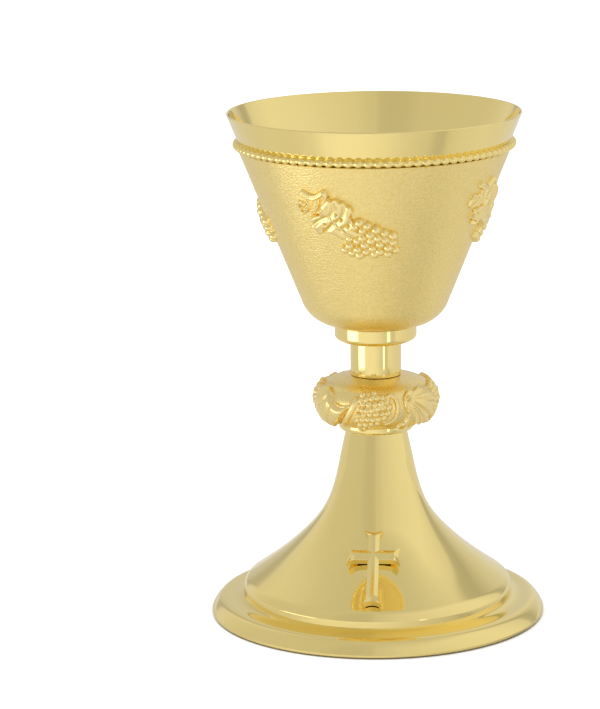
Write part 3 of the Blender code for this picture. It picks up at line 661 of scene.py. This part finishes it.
def line_distance(u, v, line, count=40):
    route = smooth_line(line, count) if len(line) > 2 else np.linspace(line[0], line[1], count)
    return np.min([np.hypot(u - a, v - b) for a, b in route], axis=0)


def packed(outline, pitch, fall):
    """Centres of balls packed like oranges inside an outline, their rows at an angle."""
    outline = np.array(outline, float)
    along, up = np.array([math.cos(fall), math.sin(fall)]), np.array([-math.sin(fall), math.cos(fall)])
    middle = outline.mean(axis=0)
    centres = []
    for row in range(-8, 9):
        for step in range(-12, 13):
            place = middle + along * pitch * (step + 0.5 * (row % 2)) + up * pitch * 0.86 * row
            stray = np.array([math.sin(7 * step + 3 * row), math.cos(5 * step - 4 * row)])
            place = place + 0.10 * pitch * stray
            if depth_inside(place[:1], place[1:], outline)[0] > -0.25 * pitch:
                centres.append(place)
    return centres


def grapes(u, v, outline, pitch, fall, radius, lift):
    """A bunch: packed balls, those in its middle standing a little higher."""
    field = np.full(u.shape, SUNK * 3)
    for i, centre in enumerate(packed(outline, pitch, fall)):
        deep = depth_inside(centre[:1], centre[1:], np.array(outline, float))[0]
        rise = lift + 0.16 * min(max(deep, 0), 4 * radius) + 0.10 * radius * (i * 7 % 5) / 2
        field = np.maximum(field, ball(u, v, centre, radius * (1 + 0.05 * math.sin(3.1 * i)), rise))
    return field


def leaf_blade(u, v, outline, veins, thickness, swell, groove):
    """A leaf: steep edges, a blade that swells between its sunk veins."""
    inside = depth_inside(u, v, np.array(outline, float))
    nearest = np.min([line_distance(u, v, np.array(line, float)) for line in veins], axis=0)
    pillow = swell * (1 - np.exp(-((nearest / 1.1) ** 2))) * (1 - np.exp(-np.maximum(inside, 0) / 0.8))
    sunk = groove * np.exp(-((nearest / 0.36) ** 2))
    blade = np.minimum(thickness, 0.1 + STEEP * inside) + pillow
    return np.where(inside > 0.25, blade - sunk, blade)


def field_piece(name, u, v, height, surface, material):
    """A closed relief: the cells of a height field that rise above the ground, with a flat back."""
    rows, columns = height.shape
    height = np.maximum(height, SUNK)
    raised = height > SUNK + 0.001
    cells = raised[:-1, :-1] | raised[1:, :-1] | raised[:-1, 1:] | raised[1:, 1:]
    index = np.arange(rows * columns).reshape(rows, columns)
    a, b, c, d = (index[:-1, :-1], index[:-1, 1:], index[1:, 1:], index[1:, :-1])
    quads = np.stack([a[cells], b[cells], c[cells], d[cells]], axis=1)
    top = surface(u, v, height).reshape(-1, 3)
    back = surface(u, v, np.full(height.shape, SUNK - 0.1)).reshape(-1, 3)
    edges = np.concatenate([quads[:, [i, (i + 1) % 4]] for i in range(4)])
    key = np.sort(edges, axis=1)
    _, first, times = np.unique(key, axis=0, return_index=True, return_counts=True)
    border = edges[first[times == 1]]
    shift = rows * columns
    walls = np.stack([border[:, 1], border[:, 0], border[:, 0] + shift, border[:, 1] + shift], axis=1)
    faces = np.concatenate([quads, quads[:, ::-1] + shift, walls])
    used, faces = np.unique(faces, return_inverse=True)
    points = np.vstack([top, back])[used]
    return new_piece(name, points, faces.reshape(-1, 4), material, 180)


def cone_surface(azimuth):
    """The shell's outer cone: layout millimetres to metres, about one azimuth from the front."""
    sine, cosine = math.sin(CONE_ANGLE), math.cos(CONE_ANGLE)

    def place(u, v, height):
        z = CASTING_HEIGHT + v * cosine
        radius = (RIM_RADIUS + SHELL_STEP) / MM - CONE_SLOPE * (HEIGHT / MM - z)
        reach = radius + height * cosine
        turn = math.radians(azimuth) + u / radius
        return np.stack([reach * np.sin(turn), -reach * np.cos(turn), z - height * sine], axis=-1) * MM

    return place


def casting_field(u, v):
    """Cane and tendrils at the upper left, a lobed leaf in the middle, grapes to the lower right."""
    field = grapes(u, v, BUNCH_LINE, GRAPE_PITCH, GRAPE_FALL, GRAPE_RADIUS, 0.35)
    bed = np.minimum(0.8, 0.1 + STEEP * depth_inside(u, v, np.array(BUNCH_LINE, float)))
    field = np.maximum(field, bed)
    leaf = leaf_blade(u, v, LEAF_LINE, SIDE_VEINS, 1.4, 0.75, 0.05)
    ribs = 0.55 * np.exp(-((line_distance(u, v, MIDRIB) / 0.42) ** 2))
    for hole_u, hole_v in LEAF_HOLES:
        ribs = ribs - 1.3 * np.exp(-((np.hypot(u - hole_u, v - hole_v) / 0.5) ** 2))
    leaf = np.where(leaf > 0.9, leaf + ribs, leaf)
    field = np.maximum(field, leaf + 0.25 * (leaf > 0))
    for line, radius, lift, taper in VINE_STEMS:
        field = np.maximum(field, rope(u, v, line, radius, lift, taper))
    return field


def make_castings():
    """Four alike castings on the shell."""
    pitch = 0.2
    u, v = np.meshgrid(np.arange(-21.6, 22.6, pitch), np.arange(-16.0, 17.4, pitch))
    height = casting_field(u, v)
    for side, azimuth in CASTING_AZIMUTHS.items():
        material = cast_gold("casting_gilding_" + side)
        piece = field_piece("vine_casting_" + side, u, v, height, cone_surface(azimuth), material)
        place_piece(piece, "relief_gold", "grape_applique_" + side)


# ---- stem -----------------------------------------------------------------------------------------


def make_cup_collar():
    band_bottom = COLLAR_TOP - COLLAR_BAND
    reach, drop_height = COLLAR_RADIUS - SLEEVE_RADIUS, band_bottom - COLLAR_BOTTOM
    under = [
        (SLEEVE_RADIUS + reach * math.cos(a), band_bottom - drop_height * math.sin(a))
        for a in np.linspace(0, math.pi / 2, 24)
    ]
    rim = arc((COLLAR_RADIUS - 0.4 * MM, COLLAR_TOP - 0.4 * MM), 0.4 * MM, 90, 0, 6)
    outline = [*rim, *under, (BOSS_HOLE, COLLAR_BOTTOM), (BOSS_HOLE, COLLAR_TOP)]
    piece = turned("collar", outline, polished_gold("collar_gilding"))
    place_piece(piece, "polished_gold", "cup_collar")


def make_sleeve():
    top, bottom = COLLAR_BOTTOM, SLEEVE_BOTTOM
    inner = SLEEVE_RADIUS - SLEEVE_WALL
    outline = [(SLEEVE_RADIUS, top), (SLEEVE_RADIUS, bottom), (inner, bottom), (inner, top)]
    piece = turned("sleeve", softened(outline, 0.2 * MM), polished_gold("sleeve_gilding", (0.05, 0.08)))
    place_piece(piece, "polished_gold", "stem_sleeve")


def make_foot_collar():
    rounding = 1.4 * MM
    edge = arc((FOOT_COLLAR_RADIUS - rounding, FOOT_COLLAR_BOTTOM + rounding), rounding, 0, -90, 12)
    rim = arc((FOOT_COLLAR_RADIUS - 0.4 * MM, FOOT_COLLAR_TOP - 0.4 * MM), 0.4 * MM, 90, 0, 6)
    outline = [*rim, *edge, (ROD_CLEARANCE, FOOT_COLLAR_BOTTOM), (ROD_CLEARANCE, FOOT_COLLAR_TOP)]
    piece = turned("flange", outline, polished_gold("flange_gilding"))
    place_piece(piece, "polished_gold", "foot_collar")


def fan_leaf(u, v):
    """A broad leaf whose veins fan out from a pierced eye near its upper left corner."""
    tips = [FAN_LEAF_LINE[i] for i in (3, 5, 7, 9, 11, 13, 14)]
    veins = [(FAN_LEAF_EYE, tip) for tip in tips]
    field = leaf_blade(u, v, FAN_LEAF_LINE, veins, 1.6, 0.35, 0.22)
    eye = np.hypot(u - FAN_LEAF_EYE[0], v - FAN_LEAF_EYE[1])
    rays = 0.12 * np.cos(26 * np.arctan2(v - FAN_LEAF_EYE[1], u - FAN_LEAF_EYE[0]))
    field = np.where(field > 1.2, field + rays * np.clip(eye / 3 - 0.5, 0, 1), field)
    return field - np.where(field > 0, 1.9 * np.exp(-((eye / 0.9) ** 2)), 0)


def folded_leaf(u, v):
    """A smooth full leaf with one tip to the right, creased along its shoulder, and a branch beside it."""
    shoulder = ((-20.2, 6.2), (-18.4, 3.0), (-14.4, 1.2), (-10.0, 2.0))
    creases = (
        ((-18.6, 3.0), (-20.6, -2.6), (-22.0, -8.6)),
        ((-20.4, 4.6), (-26.0, 0.4), (-31.0, -1.0)),
    )
    field = leaf_blade(u, v, FOLDED_LEAF_LINE, (shoulder,), 1.6, 1.1, 0.5)
    for crease in creases:
        field = np.where(field > 1, field - 0.4 * np.exp(-((line_distance(u, v, crease) / 0.8) ** 2)), field)
    return np.maximum(field, rope(u, v, BRANCH_LINE, 1.9, -0.6, 0.9))


def knop_field(u, v):
    """The knop's reliefs over its ground; u runs once round the belt."""
    belt = math.tau * KNOP_BELT_RADIUS
    field = np.full(u.shape, SUNK * 3)
    for quarter in range(4):
        near = (u - quarter * belt / 4 + belt / 2) % belt - belt / 2
        bunch = grapes(near, v, KNOP_BUNCH_LINE, KNOP_GRAPE_PITCH, 0.1, KNOP_GRAPE_RADIUS, 0.75)
        field = np.maximum(field, bunch)
        field = np.maximum(field, rope(near, v, JAY_STEM, 0.85, 0.7, 0.8))
        if quarter % 2 == 0:
            field = np.maximum(field, fan_leaf(near, v))
            field = np.maximum(field, folded_leaf(near, v))
    return field


def knop_lining(line):
    """The knop's inner face, from the bottom of its bore, round the hollow, to the top of its bore."""
    low, high = KNOP_BOTTOM + KNOP_FLANGE, KNOP_TOP - KNOP_FLANGE
    wall = map(tuple, inset(line[::20], KNOP_WALL)[::-1])
    hollow = [(r, z) for r, z in wall if r > KNOP_BORE + 0.3 and low < z < high]
    bottom = [(KNOP_BORE, KNOP_BOTTOM), (KNOP_BORE, low)]
    return [*bottom, *hollow, (KNOP_BORE, high), (KNOP_BORE, KNOP_TOP)]


def make_knop():
    """The cast knop: outer face as one height field, then the inner wall."""
    line = smooth_line(KNOP_LINE, 400)
    length = lengths_along(line)
    middle = length[int(np.argmin(abs(line[:, 1] - KNOP_MIDDLE)))]
    slope = np.gradient(line, length, axis=0)
    rows, columns = 170, 760
    v = np.linspace(middle, middle - length[-1], rows)
    u = np.linspace(0, math.tau * KNOP_BELT_RADIUS, columns, endpoint=False)
    uu, vv = np.meshgrid(u, v)
    height = np.maximum(knop_field(uu, vv) + SUNK, 0)
    along = middle - v
    r, z = (np.interp(along, length, line[:, k])[:, None] for k in (0, 1))
    run, rise = (np.interp(along, length, slope[:, k])[:, None] for k in (0, 1))
    fade = np.clip((r - KNOP_LINE[0][0]) / 6.0, 0, 1)
    turn = u / KNOP_BELT_RADIUS
    across = r - rise * height * fade
    skin = np.stack([across * np.sin(turn), -across * np.cos(turn), z + run * height * fade], axis=-1)
    lining = [
        np.stack([radius * np.sin(turn), -radius * np.cos(turn), np.full(columns, level)], axis=-1)
        for radius, level in knop_lining(line)
    ]
    points = np.concatenate([skin, np.array(lining)]).reshape(-1, 3) * MM
    faces = ring_faces(rows + len(lining), columns, True)
    piece = new_piece("knop_cast", points, faces, cast_knop_gold(), 180)
    place_piece(piece, "satin_gold", "knop")


def cast_knop_gold():
    """Knop gilding: sand grain all over, with painted shade, redder, in the hollows between the reliefs and
    a painted highlight on them.
    """
    nodes = Nodes("knop_gilding")
    skin = nodes.noise(1500.0, 3.0)
    sand = nodes.noise(2300.0, 2.0)
    form = nodes.add("ShaderNodeNewGeometry").outputs["Pointiness"]
    # painted shade and highlight: redder and darker in the hollows between the reliefs, lighter on their
    # raised places
    colour = nodes.tint(nodes.spread(form, 0.0, 1.0, 0.44, 0.52), (0.93, 0.64, 0.17), (0.96, 0.78, 0.35))
    normal = nodes.bump(sand, 0.07 * MM, 0.9)
    return nodes.result(colour, nodes.spread(skin, 0.22, 0.36), normal)


# ---- foot -----------------------------------------------------------------------------------------


def make_bell():
    outer = bell_line(110)
    inner = [tuple(point) for point in inset(bell_line(60), BELL_WALL)]
    inner[-1] = (BELL_WALL_RADIUS - BELL_WALL, BELL_BOTTOM)
    neck, roof = outer[0][1], outer[0][1] - BELL_WALL
    inner = [point for point in inner if point[1] <= roof]
    outline = [*outer, *inner[::-1], (inner[0][0], roof), (ROD_CLEARANCE, roof), (ROD_CLEARANCE, neck)]
    piece = turned("bell", outline, polished_gold("bell_gilding", (0.03, 0.06)), 384)
    place_piece(piece, "polished_gold", "foot_bell")


def make_base_ring():
    top = smooth_line(BASE_KNOTS, 70)
    toe = arc((BASE_RADIUS - 0.7 * MM, 0.7 * MM), 0.7 * MM, 0, -90, 8)
    foot = [(62.0 * MM, 0.0), (62.0 * MM, 1.5 * MM), (BASE_RADIUS - 2.2 * MM, 1.5 * MM)]
    under = [(BASE_EDGE_RADIUS - 1.6 * MM, 4.6 * MM), (60.5 * MM, 5.0 * MM), (BASE_SEAT_IN, 5.8 * MM)]
    outline = [(BASE_SEAT_IN, BASE_SEAT), *map(tuple, top), *toe, *foot, *under]
    piece = turned("base", outline, polished_gold("base_gilding", (0.03, 0.06)), 384)
    place_piece(piece, "polished_gold", "base_ring")


def cross_place(points):
    """Lays flat points (x across, y up from the cross's foot, z outwards) on the bell's front."""
    line = np.array(bell_line(240))
    length = lengths_along(line)
    foot = np.interp(-CROSS_FOOT_Z, -line[:, 1], length)
    slope = np.gradient(line, length, axis=0)
    x, y, z = np.asarray(points).T
    r, h = (np.interp(foot - y, length, line[:, k]) for k in (0, 1))
    run, rise = (np.interp(foot - y, length, slope[:, k]) for k in (0, 1))
    norm = np.hypot(run, rise)
    out_r, out_z = -rise / norm, run / norm
    return np.stack([x, -(r + out_r * z), h + out_z * z], axis=1)


def cross_arm(length, inset_by, spine):
    """One arm's right side, centre to tip, then half of its notched end; or its middle line instead."""
    bar, flare = CROSS_BAR / 2 - inset_by, CROSS_FLARE / 2 - inset_by
    tip, start = length - inset_by, length - CROSS_FLARE_LENGTH
    straight = [(bar, bar + (start - bar) * t) for t in np.linspace(0.08, 0.92, 12)]
    side = [(bar + (flare - bar) * t**2.2, start + (tip - start) * t) for t in np.linspace(0, 1, 12)]
    end = [
        (flare * (1 - t), tip - CROSS_NOTCH * math.sin(math.pi / 2 * t) ** 1.5)
        for t in np.linspace(0.12, 1, 8)
    ]
    points = straight + side + end
    if spine:
        last = tip - CROSS_NOTCH - 0.3 * MM
        points = [(0.0, min(y, last)) for _, y in points]
    return points


def cross_outline(inset_by=0.0, spine=False):
    """The outline round all four arms, counter-clockwise, arms' centre at the origin."""
    lengths = (CROSS_ARMS_FROM_TOP, CROSS_SPAN / 2, CROSS_HEIGHT - CROSS_ARMS_FROM_TOP, CROSS_SPAN / 2)
    corner = (0.0, 0.0) if spine else (inset_by - CROSS_BAR / 2, CROSS_BAR / 2 - inset_by)
    outline = []
    for quarter, length in enumerate(lengths):
        turn = Matrix.Rotation(math.tau * quarter / 4, 2)
        right = cross_arm(length, inset_by, spine)
        left = [(-x, y) for x, y in right[-2::-1]]
        outline += [turn @ Vector(point) for point in [*right, *left, corner]]
    return [tuple(point) for point in outline]


def make_cross():
    """The cross: broad bevels up to a narrow flat along the middle of each arm, bent along the bell."""
    centre_y = CROSS_HEIGHT - CROSS_ARMS_FROM_TOP
    soft = 0.18 * MM
    low = CROSS_THICKNESS - CROSS_BEVEL_DEPTH
    levels = (
        (0.0, 0.3 * MM, True),
        (0.0, 0.1 * MM, False),
        (0.1 * MM, 0.0, False),
        (0.6 * low, 0.0, False),
        (low - soft, 0.0, False),
        (low, 0.05 * MM, False),
        (low + soft * 0.6, soft, False),
        (CROSS_THICKNESS - soft * 0.6, CROSS_BEVEL - soft, False),
        (CROSS_THICKNESS - 0.03 * MM, CROSS_BEVEL, False),
        (CROSS_THICKNESS, CROSS_BEVEL + soft, False),
        (CROSS_THICKNESS, CROSS_BEVEL + soft, True),
    )
    stand_off = 0.45 * MM
    sections = []
    for z, inset_by, spine in levels:
        flat = [(x, y + centre_y, z + stand_off) for x, y in cross_outline(inset_by, spine)]
        sections.append(cross_place(flat))
    count = len(sections[0])
    faces = []
    for level in range(len(sections) - 1):
        for i in range(count):
            k = (i + 1) % count
            a, b = level * count, (level + 1) * count
            faces.append((a + i, a + k, b + k, b + i))
    piece = new_piece("cross", np.concatenate(sections), faces, polished_gold("cross_gilding", (0.08, 0.12)))
    shape = bmesh.new()
    shape.from_mesh(piece.data)
    bmesh.ops.remove_doubles(shape, verts=shape.verts, dist=0.002 * MM)
    bmesh.ops.dissolve_degenerate(shape, edges=shape.edges, dist=0.001 * MM)
    shape.to_mesh(piece.data)
    shape.free()
    piece.data.shade_smooth()
    piece.data.set_sharp_from_angle(angle=math.radians(22))
    place_piece(piece, "polished_gold", "foot_cross")


# ---- stage ----------------------------------------------------------------------------------------


# Surroundings that the gilding mirrors, as grays by azimuth: degrees from the front, to the right.
# On the floor they are painted light and shade with two painted glowing strips; in the world, the tent's
# light.
# They aren't a plain floor and light: their values were read off the photograph's reflections.
FLOOR_LIGHT = 1.38  # what a white spot of the floor sends out
STRIP_LIGHT = 1.7  # what the two long strips of light on it add
FAR_FLOOR_STARTS, FAR_FLOOR_FULL = 0.32, 0.38  # metres from the axis
ZENITH = 0.62
NEAR_FLOOR = (
    (-180, 0.84),
    (-160, 0.80),
    (-135, 0.74),
    (-110, 0.71),
    (-70, 0.71),
    (-52, 0.76),
    (-40, 0.88),
    (-28, 0.93),
    (-5, 0.91),
    (12, 0.85),
    (28, 0.75),
    (50, 0.66),
    (57, 0.56),
    (63, 0.55),
    (68, 0.66),
    (80, 0.72),
    (110, 0.76),
    (150, 0.72),
    (180, 0.84),
)
FAR_FLOOR = (
    (-180, 0.70),
    (-70, 0.68),
    (-60, 0.72),
    (-44, 0.92),
    (-4, 0.90),
    (12, 0.82),
    (28, 0.70),
    (42, 0.66),
    (54, 0.64),
    (62, 0.82),
    (90, 0.76),
    (130, 0.72),
    (180, 0.70),
)
FLOOR_STRIPS = (
    (-81, 0.0),
    (-80, 1.0),
    (-50, 1.0),
    (-47, 0.0),
    (35, 0.0),
    (36.5, 1.0),
    (41, 1.0),
    (42.5, 0.0),
)
TENT = (
    (-180, 0.66),
    (-165, 0.64),
    (-157, 0.60),
    (-152, 0.50),
    (-148, 0.52),
    (-144, 0.72),
    (-135, 0.75),
    (-122, 0.70),
    (-105, 0.66),
    (-60, 0.645),
    (-42, 0.64),
    (-28, 0.59),
    (-12, 0.58),
    (-3, 0.60),
    (1, 0.66),
    (10, 0.68),
    (20, 0.73),
    (45, 0.78),
    (70, 0.83),
    (105, 0.86),
    (120, 0.80),
    (129, 0.74),
    (133, 0.52),
    (139, 0.48),
    (143, 0.56),
    (149, 0.66),
    (165, 0.76),
    (180, 0.66),
)


def gray(value):
    return (value, value, value, 1.0)


def ramp_of(tree, factor, stops):
    """A colour ramp of grays through (position in degrees from the front, to the right; value)."""
    ramp = tree.nodes.new("ShaderNodeValToRGB")
    elements = ramp.color_ramp.elements
    while len(elements) < len(stops):
        elements.new(0.5)
    for element, (degrees, value) in zip(elements, stops):
        element.position = (degrees + 180) / 360
        element.color = gray(value)
    tree.links.new(factor, ramp.inputs["Fac"])
    return ramp.outputs["Color"]


def azimuth_of(tree, vector):
    """0..1 for the azimuth -180..180 degrees of a vector, 0.5 being the front (-Y); and its parts."""
    split = tree.nodes.new("ShaderNodeSeparateXYZ")
    tree.links.new(vector, split.inputs[0])
    back = tree.nodes.new("ShaderNodeMath")
    back.operation = "MULTIPLY"
    back.inputs[1].default_value = -1.0
    tree.links.new(split.outputs["Y"], back.inputs[0])
    turn = tree.nodes.new("ShaderNodeMath")
    turn.operation = "ARCTAN2"
    tree.links.new(split.outputs["X"], turn.inputs[0])
    tree.links.new(back.outputs[0], turn.inputs[1])
    fit = tree.nodes.new("ShaderNodeMapRange")
    fit.inputs["From Min"].default_value = -math.pi
    fit.inputs["From Max"].default_value = math.pi
    tree.links.new(turn.outputs[0], fit.inputs["Value"])
    return fit.outputs["Result"], split


def mixed(tree, factor, low, high):
    """Mix of two colours; each is a socket or a gray value."""
    mix = tree.nodes.new("ShaderNodeMix")
    mix.data_type = "RGBA"
    for key, colour in (("A", low), ("B", high)):
        if isinstance(colour, float):
            mix.inputs[key].default_value = gray(colour)
        else:
            tree.links.new(colour, mix.inputs[key])
    tree.links.new(factor, mix.inputs["Factor"])
    return mix.outputs["Result"]


def make_stage():
    """The floor: plain and pale to the camera, but in what the gilding mirrors, painted light and shade by
    azimuth and two painted glowing strips.
    """
    bpy.ops.mesh.primitive_plane_add(size=30.0, location=(0, 2.0, -0.0004))
    floor = bpy.context.object
    floor.name = "floor"
    material = bpy.data.materials.new("pale_floor_painted_light")
    material.use_nodes = True
    tree = material.node_tree
    tree.nodes.remove(tree.nodes["Principled BSDF"])
    place = tree.nodes.new("ShaderNodeNewGeometry").outputs["Position"]
    turn, _ = azimuth_of(tree, place)
    near, far = (
        [(degrees, value / FLOOR_LIGHT) for degrees, value in stops] for stops in (NEAR_FLOOR, FAR_FLOOR)
    )
    reach = tree.nodes.new("ShaderNodeVectorMath")
    reach.operation = "LENGTH"
    tree.links.new(place, reach.inputs[0])
    beyond = tree.nodes.new("ShaderNodeMapRange")
    beyond.inputs["From Min"].default_value = FAR_FLOOR_STARTS
    beyond.inputs["From Max"].default_value = FAR_FLOOR_FULL
    tree.links.new(reach.outputs["Value"], beyond.inputs["Value"])
    # painted light and shade on the floor, by azimuth near and far, seen only in reflections
    painted_floor_light = mixed(tree, beyond.outputs["Result"], ramp_of(tree, turn, near), ramp_of(tree, turn, far))
    seen = tree.nodes.new("ShaderNodeLightPath").outputs["Is Camera Ray"]
    diffuse = tree.nodes.new("ShaderNodeBsdfDiffuse")
    tree.links.new(mixed(tree, seen, painted_floor_light, 0.92), diffuse.inputs["Color"])
    # glowing strips painted on the floor in place of strip lamps, seen only in reflections
    glow = tree.nodes.new("ShaderNodeEmission")
    glow.inputs["Strength"].default_value = STRIP_LIGHT
    lit = mixed(tree, beyond.outputs["Result"], 0.0, ramp_of(tree, turn, FLOOR_STRIPS))
    tree.links.new(mixed(tree, seen, lit, 0.0), glow.inputs["Color"])
    both = tree.nodes.new("ShaderNodeAddShader")
    tree.links.new(diffuse.outputs[0], both.inputs[0])
    tree.links.new(glow.outputs[0], both.inputs[1])
    tree.links.new(both.outputs[0], tree.nodes["Material Output"].inputs["Surface"])
    floor.data.materials.append(material)


def make_world():
    """White to the camera; to the gilding a gray tent, brighter on the right and dimmer overhead."""
    world = bpy.data.worlds.new("studio")
    bpy.context.scene.world = world
    world.use_nodes = True
    tree = world.node_tree
    direction = tree.nodes.new("ShaderNodeTexCoord").outputs["Generated"]
    turn, split = azimuth_of(tree, direction)
    tent = ramp_of(tree, turn, TENT)
    up = tree.nodes.new("ShaderNodeMapRange")
    up.inputs["From Min"].default_value = 0.80
    up.inputs["From Max"].default_value = 0.97
    tree.links.new(split.outputs["Z"], up.inputs["Value"])
    seen = tree.nodes.new("ShaderNodeLightPath").outputs["Is Camera Ray"]
    mirrored = mixed(tree, up.outputs["Result"], tent, ZENITH)
    colour = mixed(tree, seen, mirrored, 1.0)
    tree.links.new(colour, tree.nodes["Background"].inputs["Color"])


def make_lights():
    """Soft light from overhead, which the gilding doesn't mirror: it mirrors the surroundings."""
    light = bpy.data.lights.new("overhead", "SUN")
    light.energy = 2.4
    light.angle = math.radians(70)
    lamp = bpy.data.objects.new("overhead", light)
    lamp.rotation_euler = (math.radians(-8), math.radians(-8), 0)
    lamp.visible_glossy = False
    bpy.context.scene.collection.objects.link(lamp)


CAMERA_DISTANCE = 1.26537
CAMERA_HEIGHT = 0.39153
CAMERA_TURNS = (-0.0247, 0.2196, -0.0126)  # yaw, pitch and roll, in radians
CAMERA_AZIMUTH = math.radians(2.5)
CAMERA_LENS = 159.57  # millimetres, on a sensor 36 mm wide


def make_camera():
    """The camera in front of the object, looking slightly down; its numbers fit the view's outline."""
    distance, height = CAMERA_DISTANCE, CAMERA_HEIGHT
    yaw, pitch, roll = CAMERA_TURNS
    forward = Vector((math.sin(yaw) * math.cos(pitch), math.cos(yaw) * math.cos(pitch), -math.sin(pitch)))
    right = Vector((math.cos(yaw), -math.sin(yaw), 0))
    up = right.cross(forward)
    rolled_right = math.cos(roll) * right + math.sin(roll) * up
    rolled_up = -math.sin(roll) * right + math.cos(roll) * up
    turn = Matrix((rolled_right, rolled_up, -forward)).transposed().to_4x4()
    turn.translation = (0, -distance, height)
    camera = bpy.data.objects.new("camera", bpy.data.cameras.new("camera"))
    camera.data.lens = CAMERA_LENS
    camera.data.sensor_width = 36
    camera.data.clip_end = 30
    camera.matrix_world = Matrix.Rotation(CAMERA_AZIMUTH, 4, "Z") @ turn
    bpy.context.scene.collection.objects.link(camera)
    bpy.context.scene.camera = camera


def dress_hidden_nodes():
    """Finishes for the CAD nodes that stay: the brass and steel pieces inside stem and foot."""
    finishes = {
        "cup_boss": turned_brass,
        "stem_top_plug": turned_brass,
        "stem_bottom_plug": turned_brass,
        "foot_seat_disc": turned_brass,
        "tie_rod": zinc_steel,
        "clamp_washer": zinc_steel,
        "clamp_nut": zinc_steel,
        "cross_nut_upper": zinc_steel,
        "cross_nut_lower": zinc_steel,
    }
    for name, make in finishes.items():
        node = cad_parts[name]
        material = make(name + "_finish")
        for slot in node.material_slots:
            slot.material = material


make_camera()
make_stage()
make_world()
make_lights()
make_liner()
make_shell()
make_bead_ring()
make_castings()
make_cup_collar()
make_sleeve()
make_knop()
make_foot_collar()
make_bell()
make_base_ring()
make_cross()
dress_hidden_nodes()
bpy.context.scene.view_settings.view_transform = "Standard"
